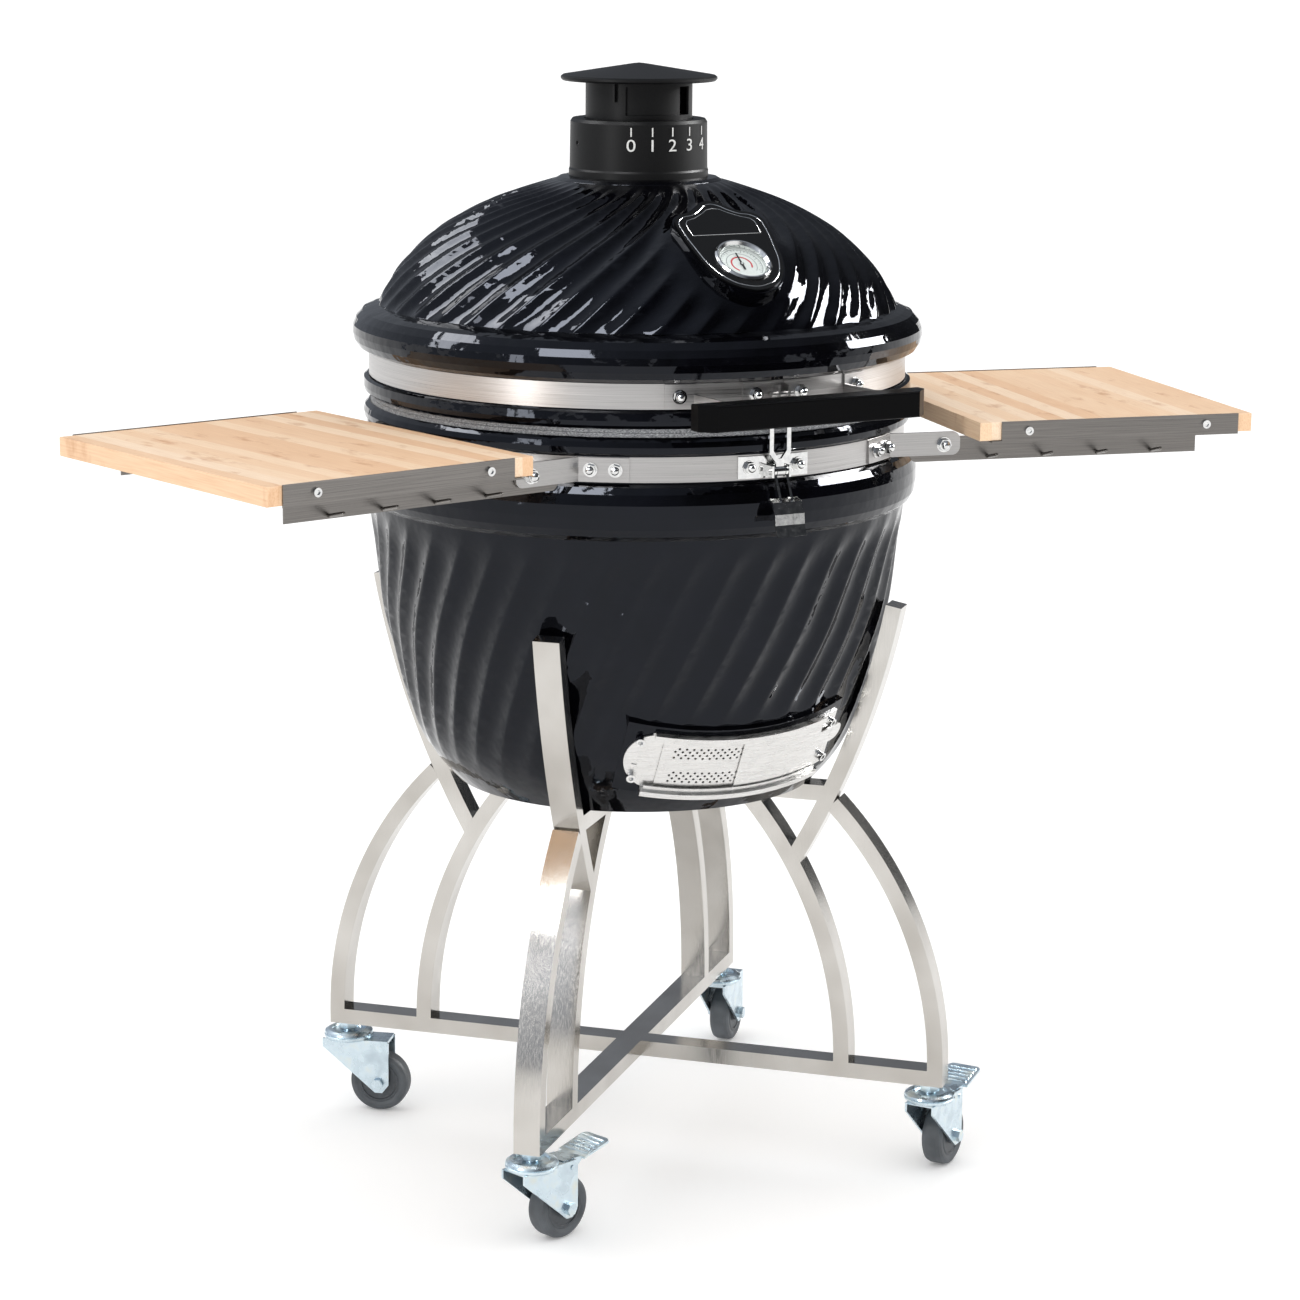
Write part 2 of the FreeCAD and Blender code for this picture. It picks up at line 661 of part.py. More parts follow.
# ---- lid shell ----------------------------------------------------------------------------
upper_top = upper_band_z + band_height
lid_rim = spun([(band_radius - 68, lid_low_z), (lip_radius - 5, lid_low_z),
                (lip_radius - 1, lid_low_z + 3.5), (lip_radius, lid_low_z + 8),
                (lip_radius - 0.6, upper_band_z - 3), (lip_radius - 3.5, upper_band_z - 1.2),
                (groove, upper_band_z - 1.2), (groove, upper_top + 1.2), (groove + 5, upper_top + 1.2),
                (flange_radius - 5.5, flange_low_z + 4.5), (flange_radius - 1.4, flange_low_z + 11),
                (flange_radius, flange_low_z + 18), (flange_radius - 0.6, flange_low_z + 25),
                (flange_radius - 3.8, flange_low_z + 32), (flange_radius - 10, flange_low_z + 38.5),
                (flange_radius - 18, flange_low_z + 41.5), (flange_radius - 24, flange_high_z + 0.2),
                (flange_radius - 32, flange_high_z + 3), (band_radius - 68, flange_high_z + 3)])
lid_void = spun([(0, lid_low_z - 5), (bore_radius, lid_low_z - 5), (bore_radius, 830),
                 (band_radius - 28, 858), (band_radius - 34, 882), (band_radius - 45, 902),
                 (band_radius - 65, 924), (band_radius - 86, 941), (band_radius - 110, 955), (128, 968),
                 (98, 977), (70, 982), (vent_radius, 984), (vent_radius, 1040), (0, 1040)])
neck = spun([(0, neck_z - 12), (neck_radius + 9, neck_z - 7), (neck_radius + 6, neck_z - 1.5),
             (neck_radius + 1.5, neck_z + 1), (collar_radius + 2, neck_z + 2), (0, neck_z + 2)])

badge_tilt = math.radians(badge_lean)
badge_out = vec(0, -math.cos(badge_tilt), math.sin(badge_tilt))
badge_up = vec(0, math.sin(badge_tilt), math.cos(badge_tilt))
badge_centre = vec(badge_x, badge_y, badge_z)


def badge_place(shape, offset):
    # local X stays across, local Y runs up the badge and local Z stands out of it
    turn = FreeCAD.Rotation(vec(1, 0, 0), badge_up, badge_out, "ZXY")
    copy = shape.copy()
    copy.Placement = FreeCAD.Placement(badge_centre + badge_out * offset, turn)
    return copy


def shield_wire(grow):
    # half outline of the shield: apex, dip, shoulder, side and round bottom, then its mirror image
    half = [(0.0, 84.0), (8.0, 81.5), (16.0, 75.0), (26.0, 69.0), (38.0, 65.5), (44.5, 58.5), (45.5, 46.0),
            (43.0, 20.0), (37.0, -8.0), (24.0, -28.5), (12.0, -35.5), (0.0, -38.0)]
    nodes = []
    for x, y in half:
        length = math.hypot(x, (y - 20) * 0.8)
        k = 1 + grow / max(length, 1)
        nodes.append(vec(x * k, 20 + (y - 20) * k, 0))
    left = [vec(-p.x, p.y, 0) for p in reversed(nodes[1:-1])]
    curve = Part.BSplineCurve()
    curve.interpolate(nodes + left, PeriodicFlag=True)
    return Part.Wire([curve.toShape()])


boss = badge_place(Part.Face(shield_wire(4.6)).extrude(vec(0, 0, 46)), -46.0)
lid_shell = lid_skin.fuse(lid_rim).fuse(neck)
lid_shell = lid_shell.fuse(boss).cut(lid_void)
stem_hole = badge_place(Part.makeCylinder(dial_radius - 1.5, 60), -50.0)
lid_shell = biggest(lid_shell.cut(stem_hole))
save(lid_shell, "lid_shell")

# ---- thermometer --------------------------------------------------------------------------
shield = Part.Face(shield_wire(2.6)).extrude(vec(0, 0, badge_thick))
shield = shield.cut(Part.makeCylinder(dial_radius - 1.5, 10, vec(0, 0, -2)))
save(badge_place(shield, 0), "badge_plate")

case_depth = 16.0
case = spun([(0, -case_depth), (dial_radius - 3, -case_depth), (dial_radius - 2, -case_depth + 1),
             (dial_radius - 2, badge_thick), (dial_radius + 0.6, badge_thick + 0.05),
             (dial_radius + 0.6, badge_thick + 1.4), (dial_radius - 1.0, badge_thick + 3.0),
             (dial_radius - 2.4, badge_thick + 3.0), (dial_face_radius, badge_thick + 0.2),
             (dial_face_radius, -3.0), (0, -3.0)])
probe = Part.makeCylinder(3.2, 62, vec(0, 0, -case_depth - 60))
save(badge_place(case.fuse(probe).removeSplitter(), 0), "dial_case")
dial_face = Part.makeCylinder(dial_face_radius - 0.1, 0.8, vec(0, 0, -3.0))
dial_post = Part.makeCylinder(1.0, 1.6, vec(0, 0, -2.2))
save(badge_place(dial_face.fuse(dial_post).removeSplitter(), 0), "dial_face")
save(badge_place(Part.makeCylinder(dial_face_radius - 0.1, 1.0, vec(0, 0, badge_thick - 1.2)), 0),
     "dial_lens")
needle_z = -1.7
needle = Part.makeCylinder(2.0, 0.7, vec(0, 0, needle_z))
pointer = plate([vec(-0.9, -8, needle_z), vec(0.9, -8, needle_z), vec(0.35, 15.5, needle_z),
                 vec(-0.35, 15.5, needle_z)], vec(0, 0, 1), 0.7)
needle = fused([needle, pointer]).cut(Part.makeCylinder(1.0 + run_clearance, 10, vec(0, 0, -5)))
needle.rotate(ZERO, AXIS, 12)
save(badge_place(needle, 0), "dial_needle")

# ---- chimney ------------------------------------------------------------------------------
collar_low = neck_z + 2
collar_top = collar_low + collar_height
collar = spun([(vent_radius, collar_low), (collar_radius + 0.8, collar_low),
               (collar_radius + 0.8, collar_low + 6), (collar_radius, collar_low + 8),
               (collar_radius - 0.6, collar_top - 3), (collar_radius - 2.6, collar_top),
               (cap_wall_radius + 1.2, collar_top), (cap_wall_radius + 1.2, collar_top - 9),
               (vent_radius, collar_top - 9)])
screw_hole = rod(2.4, front_point(collar_radius - 2.0, -90, collar_low + 33),
                 front_point(collar_radius + 5, -90, collar_low + 33))
collar = collar.cut(screw_hole)
save(collar, "chimney_collar")

sleeve_low = collar_top - 9
sleeve_top = cap_rim_z - 3
sleeve_in = sleeve_radius - 2.5
sleeve = ring(sleeve_radius, sleeve_in, sleeve_low, sleeve_top)
window_high_z = cap_rim_z - 5.5
for turn in (0, 180):
    sleeve = sleeve.cut(sector(sleeve_radius + 1, sleeve_in - 1, cap_window_z, window_high_z,
                               sleeve_open + turn, sleeve_open + window_span + turn))
bridge = block(-sleeve_in - 1, sleeve_in + 1, -5, 5, sleeve_low, sleeve_low + 4)
bridge = bridge.common(Part.makeCylinder(sleeve_radius - 1, 200, vec(0, 0, sleeve_low - 50)))
boss_low = Part.makeCylinder(9, 10, vec(0, 0, sleeve_low))
sleeve = fused([sleeve, bridge, boss_low]).cut(Part.makeCylinder(4.0 + run_clearance, 40,
                                                                 vec(0, 0, sleeve_low - 10)))
save(sleeve, "damper_sleeve")

cap_shell = spun([(0, cap_rim_z - 1.2), (cap_radius - 1.8, cap_rim_z - 1.2), (cap_radius, cap_rim_z + 0.6),
                  (cap_radius, cap_rim_z + 2.6), (cap_radius - 2.0, cap_rim_z + 4.2), (6, cap_apex_z - 0.6),
                  (0, cap_apex_z)])
cap_wall = ring(cap_wall_radius, sleeve_radius + slide_clearance, collar_top - 8, cap_rim_z)
for turn in (0, 180):
    cap_wall = cap_wall.cut(sector(cap_wall_radius + 1, sleeve_radius - 1, cap_window_z, window_high_z,
                                   window_low + turn, window_low + window_span + turn))
pointer_tab = block(-1.0, 1.0, -cap_wall_radius - 4.5, -cap_wall_radius + 1, cap_rim_z - 20, cap_rim_z)
pointer_tab = turned(pointer_tab, -53)
cap_stud = Part.makeCylinder(4.0, cap_rim_z - sleeve_low + 6, vec(0, 0, sleeve_low - 6))
cap = fused([cap_shell, cap_wall, pointer_tab, cap_stud])
save(cap, "damper_cap")

# ---- bands --------------------------------------------------------------------------------
lower_band = ring(band_radius, groove, lower_band_z, lower_band_z + band_height)
save(lower_band, "lower_band")
upper_band = ring(band_radius, groove, upper_band_z, upper_top)
save(upper_band, "upper_band")
skin_out = band_radius + 2.0

clamp_parts = []
for side in (-1, 1):
    low = min(side * 1.2, side * 8.0)
    high = max(side * 1.2, side * 8.0)
    wing = sector(skin_out, band_radius, upper_band_z + 0.5, upper_top - 0.5, low, high)
    tab = block(min(side * 4.2, side * 6.6), max(side * 4.2, side * 6.6), -skin_out - 11,
                -band_radius - 0.2, upper_band_z + 3, upper_top - 3)
    clamp_parts.append(wing.fuse(tab).removeSplitter())
clamp_parts.append(rod(3.0, vec(-12, -skin_out - 6, upper_band_z + 12),
                       vec(12, -skin_out - 6, upper_band_z + 12)))
save(turned(group(clamp_parts), lid_front_turn), "band_clamp")

# ---- handle -------------------------------------------------------------------------------
handle_back = handle_front - handle_depth
outline = [vec(-handle_half, -handle_back, handle_z), vec(-handle_half, -handle_front + handle_bevel,
                                                          handle_z),
           vec(-handle_half + handle_bevel, -handle_front, handle_z),
           vec(handle_half - handle_bevel, -handle_front, handle_z),
           vec(handle_half, -handle_front + handle_bevel, handle_z),
           vec(handle_half, -handle_back, handle_z)]
bar = plate(outline, vec(0, 0, 1), handle_height)
edges = [e for e in bar.Edges if e.BoundBox.ZLength < 0.1 and e.BoundBox.XLength > 20]
bar = bar.makeFillet(2.0, edges)
save(turned(bar, lid_front_turn), "handle_bar")

bracket_wing_low = math.degrees(math.asin(bracket_x / band_radius))
bracket_wing_high = bracket_wing_low + 6.4
brackets = []
for side in (-1, 1):
    low = min(side * bracket_wing_low, side * bracket_wing_high)
    high = max(side * bracket_wing_low, side * bracket_wing_high)
    wing = sector(skin_out, band_radius, upper_band_z + 0.5, upper_top - 0.5, low, high)
    root = math.sqrt(band_radius ** 2 - bracket_x ** 2)
    x0 = min(side * bracket_x, side * (bracket_x + 3))
    arm = block(x0, x0 + 3, -handle_back, -root - 0.4, upper_band_z + 0.5, handle_z + handle_height - 2)
    foot = block(min(side * (bracket_x + 3), side * (bracket_x - 22)),
                 max(side * (bracket_x + 3), side * (bracket_x - 22)), -handle_back, -handle_back + 3,
                 upper_band_z + 0.5, handle_z + handle_height - 2)
    brackets.append(fused([wing, arm, foot]))
save(turned(group(brackets), lid_front_turn), "handle_brackets")

lid_nuts = []
nut_z = upper_band_z + band_height / 2
for side in (-1, 1):
    for offset in (bracket_wing_low + 3.4, 5.2):
        angle = lid_front_turn + side * offset
        lid_nuts.append(dome_nut(front_point(skin_out, angle, nut_z), front_point(1, angle, 0)))

# ---- rear hinge ---------------------------------------------------------------------------
hinge_outer = 11.0


def hinge_ear(x0, x1, plate_low, plate_high):
    # an upright ear that runs from its band plate out to the pin
    back = math.sqrt(band_radius ** 2 - max(abs(x0), abs(x1)) ** 2) + 0.6
    clear = band_radius + 10.0
    to_pin = 1 if plate_high < hinge_z else -1
    near = plate_high if to_pin > 0 else plate_low
    far = plate_low if to_pin > 0 else plate_high
    big = hinge_outer
    half = hinge_outer * 0.7
    outline = [vec(x0, back, far), vec(x0, clear, far), vec(x0, hinge_y + half, hinge_z - to_pin * half),
               vec(x0, hinge_y + big, hinge_z), vec(x0, hinge_y + half, hinge_z + to_pin * half),
               vec(x0, hinge_y, hinge_z + to_pin * big), vec(x0, hinge_y - half, hinge_z + to_pin * half),
               vec(x0, clear, near), vec(x0, back, near)]
    return plate(outline, vec(1, 0, 0), x1 - x0)


pin_line = (vec(-hinge_half - 8, hinge_y, hinge_z), vec(hinge_half + 8, hinge_y, hinge_z))
lower_wing = sector(skin_out, band_radius, lower_band_z + 0.5, lower_band_z + band_height - 0.5, 166, 194)
upper_wing = sector(skin_out, band_radius, upper_band_z + 0.5, upper_top - 0.5, 168, 192)
lower_ears = [hinge_ear(-hinge_half, -hinge_half + 4, lower_band_z + 0.5, lower_band_z + band_height - 0.5),
              hinge_ear(hinge_half - 4, hinge_half, lower_band_z + 0.5, lower_band_z + band_height - 0.5)]
inner_ear = hinge_half - 4 - side_clearance
upper_ears = [hinge_ear(-inner_ear, -inner_ear + 4, upper_band_z + 0.5, upper_top - 0.5),
              hinge_ear(inner_ear - 4, inner_ear, upper_band_z + 0.5, upper_top - 0.5)]
barrel = rod(hinge_outer - 2, vec(-inner_ear + 1, hinge_y, hinge_z), vec(inner_ear - 1, hinge_y, hinge_z))
lower_bracket = fused([lower_wing] + lower_ears).cut(rod(hinge_pin_radius, *pin_line))
upper_bracket = fused([upper_wing, barrel] + upper_ears).cut(rod(hinge_pin_radius + run_clearance,
                                                                 *pin_line))
save(lower_bracket, "hinge_lower")
save(upper_bracket, "hinge_upper")
pin = rod(hinge_pin_radius, vec(-hinge_half - 1, hinge_y, hinge_z), vec(hinge_half + 1, hinge_y, hinge_z))
head_left = hexagon(vec(-hinge_half, hinge_y, hinge_z), vec(-1, 0, 0), 15.0, 6.0)
head_right = hexagon(vec(hinge_half, hinge_y, hinge_z), vec(1, 0, 0), 15.0, 6.0)
save(fused([pin, head_left, head_right]), "hinge_pin")
for angle in (180 - hinge_bolt_angle, 180 + hinge_bolt_angle):
    lid_nuts.append(dome_nut(front_point(skin_out, angle, nut_z), front_point(1, angle, 0)))
lid_nuts.append(rod(2.3, front_point(collar_radius - 2.0, -90, collar_low + 33),
                    front_point(collar_radius - 1.6, -90, collar_low + 33)))
save(group(lid_nuts), "lid_fasteners")

# ---- latch --------------------------------------------------------------------------------
lug_half = 10.5
latch_mid_z = lower_band_z + band_height / 2
latch_wing = sector(skin_out, band_radius, lower_band_z + 1.5, lower_band_z + band_height - 1.5, -8.1, 8.1)
lugs = []
for side in (-1, 1):
    x0 = min(side * (lug_half - 2.4), side * lug_half)
    lugs.append(block(x0, x0 + 2.4, -latch_y - 4.5, -band_radius - 0.4, latch_z - 5.5, latch_z + 5.5))
latch_pin = rod(latch_pin_radius, vec(-lug_half - 1.5, -latch_y, latch_z),
                vec(lug_half + 1.5, -latch_y, latch_z))
save(turned(fused([latch_wing] + lugs + [latch_pin]), latch_turn), "latch_plate")

lever_half = lug_half - 2.4 - side_clearance
eye = latch_pin_radius + 2.2
lever_eyes = []
for side in (-1, 1):
    inner = lever_half - 2.6
    x0 = min(side * inner, side * lever_half)
    lever_eyes.append(rod(eye, vec(x0, -latch_y, latch_z), vec(x0 + 2.6, -latch_y, latch_z)))
    shank = plate([vec(x0, -latch_y + 3.0, latch_z - 1), vec(x0, -latch_y - 3.0, latch_z - 1),
                   vec(x0, -latch_y - 14.5, latch_z - 27), vec(x0, -latch_y - 8.5, latch_z - 27)],
                  vec(1, 0, 0), 2.6)
    lever_eyes.append(shank)
tab_half = 16.0
tab = plate([vec(-tab_half, -latch_y - 7.0, latch_z - 24.5),
             vec(-tab_half, -latch_y - 16.0, latch_z - 27.0), vec(-tab_half, -latch_y - 20.5, latch_z - 38),
             vec(-tab_half, -latch_y - 21.5, latch_z - 48), vec(-tab_half, -latch_y - 26.0, latch_z - 58),
             vec(-tab_half, -latch_y - 24.4, latch_z - 58.8),
             vec(-tab_half, -latch_y - 19.7, latch_z - 48.4),
             vec(-tab_half, -latch_y - 18.7, latch_z - 38.4),
             vec(-tab_half, -latch_y - 14.6, latch_z - 28.8),
             vec(-tab_half, -latch_y - 7.0, latch_z - 26.6)], vec(1, 0, 0), 2 * tab_half)
lever = fused(lever_eyes + [tab]).cut(rod(latch_pin_radius + run_clearance, vec(-40, -latch_y, latch_z),
                                          vec(40, -latch_y, latch_z)))
save(turned(lever, latch_turn), "latch_lever")

link_half = lever_half - 2.6 - side_clearance
link_top = 806.0
link_wide = 11.6
link_thick = 2.8
link_eye = rod(eye, vec(-link_half, -latch_y, latch_z), vec(link_half, -latch_y, latch_z))
y_out = -latch_y - link_thick / 2
neck_plate = plate([vec(-link_half, y_out, latch_z), vec(link_half, y_out, latch_z),
                    vec(link_half, y_out, latch_z + 8), vec(link_wide, y_out, latch_z + 17),
                    vec(link_wide, y_out, link_top), vec(-link_wide, y_out, link_top),
                    vec(-link_wide, y_out, latch_z + 17), vec(-link_half, y_out, latch_z + 8)],
                   vec(0, 1, 0), link_thick)
slot = plate([vec(-1.5, y_out - 1, latch_z + 12), vec(1.5, y_out - 1, latch_z + 12),
              vec(link_wide - 4.4, y_out - 1, latch_z + 19.5),
              vec(link_wide - 4.4, y_out - 1, link_top - 7), vec(-link_wide + 4.4, y_out - 1, link_top - 7),
              vec(-link_wide + 4.4, y_out - 1, latch_z + 19.5)], vec(0, 1, 0), link_thick + 2)
link = link_eye.fuse(neck_plate).cut(slot)
link = link.cut(rod(latch_pin_radius + run_clearance, vec(-40, -latch_y, latch_z),
                    vec(40, -latch_y, latch_z)))
save(turned(link.removeSplitter(), latch_turn), "latch_link")

base_nuts = []
for angle in (latch_turn - 5.6, latch_turn + 5.6):
    base_nuts.append(dome_nut(front_point(skin_out, angle, latch_mid_z), front_point(1, angle, 0)))
for angle in (180 - hinge_bolt_angle, 180 + hinge_bolt_angle):
    base_nuts.append(dome_nut(front_point(skin_out, angle, latch_mid_z), front_point(1, angle, 0)))

# ---- draft door ---------------------------------------------------------------------------
lip = 3.0
r_screen = draft_radius + slide_clearance
r_door = r_screen + screen_thick + slide_clearance
r_lip = r_door + door_thick + slide_clearance
lip_thick = 1.2
rail_height = 3.5
ledge_height = 4.5
ledge_reach = 3.0
end_round = 32.7
half_angle = draft_half_angle
back = sector(draft_radius, frame_back, frame_low, frame_high, -half_angle - 0.5, half_angle + 0.5)
back = back.cut(sector(draft_radius + 5, frame_back - 5, frame_low + 9, frame_high - 9, mouth_low,
                       mouth_high))
top_rail = sector(r_lip + lip_thick, frame_back, frame_high - rail_height, frame_high, -half_angle,
                  half_angle)
low_rail = sector(r_lip + lip_thick, frame_back, frame_low, frame_low + rail_height, -half_angle,
                  half_angle)
top_lip = sector(r_lip + lip_thick, r_lip, frame_high - rail_height - lip, frame_high, -half_angle,
                 half_angle)
low_lip = sector(r_lip + lip_thick, r_lip, frame_low, frame_low + rail_height + lip, -half_angle,
                 half_angle)
left_end = sector(frame_back + 2.0, frame_back, frame_low + 2, frame_high - 2, -half_angle - 5.6,
                  -half_angle + 1.4)
round_at = -half_angle + 1.9
left_end = left_end.common(rod(end_round, front_point(frame_back - 20, round_at, 0),
                               front_point(frame_back + 20, round_at, 0)))
left_end = left_end.cut(sector(frame_back + 3.0, frame_back + 1.0, -7, 7, -half_angle - 3.6,
                               -half_angle - 2.4))
ledge = sector(r_lip + lip_thick + ledge_reach, frame_back, frame_low - ledge_height, frame_low + 1.0,
               -half_angle - 0.5, half_angle + 0.5)
right_end = sector(frame_back + 2.0, frame_back, frame_low + 2, frame_high - 2, half_angle - 0.6,
                   half_angle + 4.6)
draft_frame = fused([back, top_rail, low_rail, ledge, top_lip, low_lip, left_end, right_end])
save(on_draft(draft_frame), "draft_frame")

panel_low = frame_low + rail_height + slide_clearance
panel_high = frame_high - rail_height - slide_clearance
screen = sector(r_screen + screen_thick, r_screen, panel_low, panel_high, -half_angle + 2.2, 0.6)
hole_pitch = math.degrees(7.2 / draft_radius)
holes = []
for band_mid in (-15.5, 13.5):
    for row in range(4):
        height = band_mid + 3.6 * (row - 1.5)
        shift = 0.5 * (row % 2)
        for column in range(10):
            angle = -half_angle + 5.2 + hole_pitch * (column + shift)
            start = front_point(r_screen - 2, angle, height)
            end = front_point(r_screen + screen_thick + 2, angle, height)
            holes.append(rod(1.25, start, end))
screen = screen.cut(Part.makeCompound(holes))
save(on_draft(screen), "draft_screen")

door = sector(r_door + door_thick, r_door, panel_low, panel_high, -1.0, half_angle - 0.6)
finger = rod(9.5, front_point(r_door, half_angle + 5.4, 4), front_point(r_door + door_thick,
                                                                        half_angle + 5.4, 4))
finger_root = sector(r_door + door_thick, r_door, -5.5, 13.5, half_angle - 1.5, half_angle + 5.4)
door = fused([door, finger, finger_root])
save(on_draft(door), "draft_door")
for angle, heights in ((-half_angle - 3.0, (-21, 23)), (half_angle + 2.6, (-22, 21))):
    for height in heights:
        start = draft_point(frame_back + 2.0, angle, height)
        way = start - draft_point(0, angle, height)
        base_nuts.append(socket_screw(start, way, 4.6, 5.0))

# ---- side shelves -------------------------------------------------------------------------
# Drawn for the right side in (outwards, forwards, up), then turned and mirrored.
arm_low = lower_band_z + 0.5
arm_high = lower_band_z + band_height - 0.5


def shelf_place(shape, side):
    # local +X outwards, local -Y forwards
    right = turned(shape, -sweep)
    if side > 0:
        return right
    return right.mirror(ZERO, vec(1, 0, 0))


mid_line = (board_front + board_back) / 2
rear_plane = 2 * mid_line - arm_plane
plate_low = fold_z - 17.0
board_low = board_top_z - board_thick
web_top = board_low - 0.2
web_low = web_top - rail_thick
board_out = board_in + board_long

board = block(board_in, board_out, -board_front + rail_thick + 0.2, -board_back - rail_thick - 0.2,
              board_low, board_top_z)
board = board.makeFillet(1.2, [e for e in board.Edges if e.BoundBox.XLength > 100])


def arm(plane, sign, tip):
    # a bent plate: one leg follows the band, the other runs out beside the shelf rail
    near = abs(plane) - arm_thick
    start = math.sqrt(band_radius ** 2 - near ** 2) + 0.1
    y_face = -plane
    y0 = min(y_face, y_face + sign * arm_thick)
    leg = block(start, tip, y0, y0 + arm_thick, arm_low, arm_high)
    leg = leg.makeFillet(8.0, [e for e in leg.Edges if e.BoundBox.YLength > 1 and e.BoundBox.XLength < 0.1
                               and e.BoundBox.ZLength < 0.1 and e.BoundBox.XMin > tip - 1])
    return leg


rail_gap = 0.6
front_rail_y = -arm_plane + arm_thick + rail_gap
rear_rail_y = -rear_plane - arm_thick - rail_gap - rail_thick


def rail(plate_y, edge_y, web_from, web_to, tail, low):
    # Z-shaped rail: upright flange on the board's edge, web under the board, hook plate below
    flange = block(board_in + 22, board_out - 15, edge_y, edge_y + rail_thick, web_low, board_top_z + 0.6)
    web = block(board_in + 12, board_out - 42, web_from, web_to, web_low, web_top)
    hang = block(tail, board_out - 42, plate_y, plate_y + rail_thick, low, web_top)
    corners = [e for e in hang.Edges if e.BoundBox.XLength < 0.1 and e.BoundBox.ZLength < 0.1
               and e.BoundBox.YLength > 1 and e.BoundBox.XMin < tail + 1]
    hang = hang.makeFillet(7.0, corners)
    whole = fused([flange, web, hang])
    return whole.cut(rod(pivot_radius + run_clearance, vec(fold_u, plate_y - 9, fold_z),
                         vec(fold_u, plate_y + 9, fold_z)))


front_rail = rail(front_rail_y, -board_front, -board_front, front_rail_y + rail_thick, fold_u - 34,
                  plate_low)
rear_rail = rail(rear_rail_y, -board_back - rail_thick, rear_rail_y, -board_back, fold_u - 9, plate_low + 7)
hooks = []
hook_way = vec(0, -math.cos(math.radians(hook_rise)), math.sin(math.radians(hook_rise)))
for step in range(hook_count):
    x = board_in + 24 + hook_pitch * step
    start = vec(x, front_rail_y + rail_thick / 2, board_low - 22)
    end = start + hook_way * hook_reach
    hooks.append(rod(1.8, start, end))
    hooks.append(Part.makeSphere(1.8, end))
front_rail = front_rail.multiFuse(hooks)
front_rail = biggest(front_rail)

screws = []
for x in (board_in + 50, board_out - 50):
    screws.append(socket_screw(vec(x, -board_front, board_top_z - board_thick / 2), vec(0, -1, 0), 4.2,
                               2.6))
    screws.append(socket_screw(vec(x, -board_back, board_top_z - board_thick / 2), vec(0, 1, 0), 4.2, 2.6))

front_arm = arm(arm_plane, 1, fold_u + 17)
rear_arm = arm(rear_plane, -1, fold_u + 17)
front_root = math.degrees(math.atan2(math.sqrt(skin_out ** 2 - arm_plane ** 2), arm_plane))
rear_root = math.degrees(math.atan2(math.sqrt(skin_out ** 2 - rear_plane ** 2), rear_plane))
front_wing = sector(skin_out, band_radius, arm_low, arm_high, front_root - 10.2, front_root + 1.0)
rear_wing = sector(skin_out, band_radius, arm_low, arm_high, rear_root - 1.0, rear_root + 10.2)
arms = [fused([front_arm, front_wing]), fused([rear_arm, rear_wing])]

pivots = []
for plane, y_sign in ((arm_plane, 1), (rear_plane, -1)):
    inner = -plane + y_sign * (arm_thick + rail_gap + rail_thick + 1.0)
    outer = -plane - y_sign * 2.0
    pivots.append(rod(pivot_radius, vec(fold_u, inner, fold_z), vec(fold_u, outer, fold_z)))
for index, plane in enumerate((arm_plane, rear_plane)):
    arms[index] = arms[index].cut(rod(pivot_radius, vec(fold_u, -plane - 9, fold_z),
                                      vec(fold_u, -plane + 9, fold_z)))

arm_solids = []
for side, tag in ((1, "right"), (-1, "left")):
    save(shelf_place(board, side), "shelf_board_" + tag)
    save(group([shelf_place(front_rail, side), shelf_place(rear_rail, side)]), "shelf_rails_" + tag)
    save(group([shelf_place(s, side) for s in screws]), "shelf_screws_" + tag)
    arm_solids.extend([shelf_place(s, side) for s in arms])
    for plane, y_sign, shaft in ((arm_plane, 1, pivots[0]), (rear_plane, -1, pivots[1])):
        outer_head = dome_nut(vec(fold_u, -plane, fold_z), vec(0, -y_sign, 0), 11.0)
        inner_at = -plane + y_sign * (arm_thick + rail_gap + rail_thick + 0.6)
        inner_head = hexagon(vec(fold_u, inner_at, fold_z), vec(0, y_sign, 0), 11.0, 4.0)
        base_nuts.append(shelf_place(fused([shaft, outer_head, inner_head]), side))
    for root, way in ((front_root, -1), (rear_root, 1)):
        for step in (2.4, 7.4):
            angle = root + way * step
            nut = dome_nut(front_point(skin_out, angle, latch_mid_z), front_point(1, angle, 0))
            base_nuts.append(shelf_place(nut, side))
save(group(arm_solids), "shelf_arms")
save(group(base_nuts), "base_fasteners")
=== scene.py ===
import math

import bpy
from mathutils import Matrix, Vector


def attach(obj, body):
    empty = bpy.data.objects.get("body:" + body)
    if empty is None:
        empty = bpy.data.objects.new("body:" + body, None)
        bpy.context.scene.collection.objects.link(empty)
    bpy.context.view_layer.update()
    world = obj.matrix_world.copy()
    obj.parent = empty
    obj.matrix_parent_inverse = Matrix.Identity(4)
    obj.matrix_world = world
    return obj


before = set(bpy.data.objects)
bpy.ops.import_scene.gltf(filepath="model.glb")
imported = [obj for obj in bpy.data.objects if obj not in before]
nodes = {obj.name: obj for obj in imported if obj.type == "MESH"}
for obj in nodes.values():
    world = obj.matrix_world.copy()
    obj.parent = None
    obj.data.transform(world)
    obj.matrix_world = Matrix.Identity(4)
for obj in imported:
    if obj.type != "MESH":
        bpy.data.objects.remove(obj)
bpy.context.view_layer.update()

bpy.ops.object.select_all(action="DESELECT")

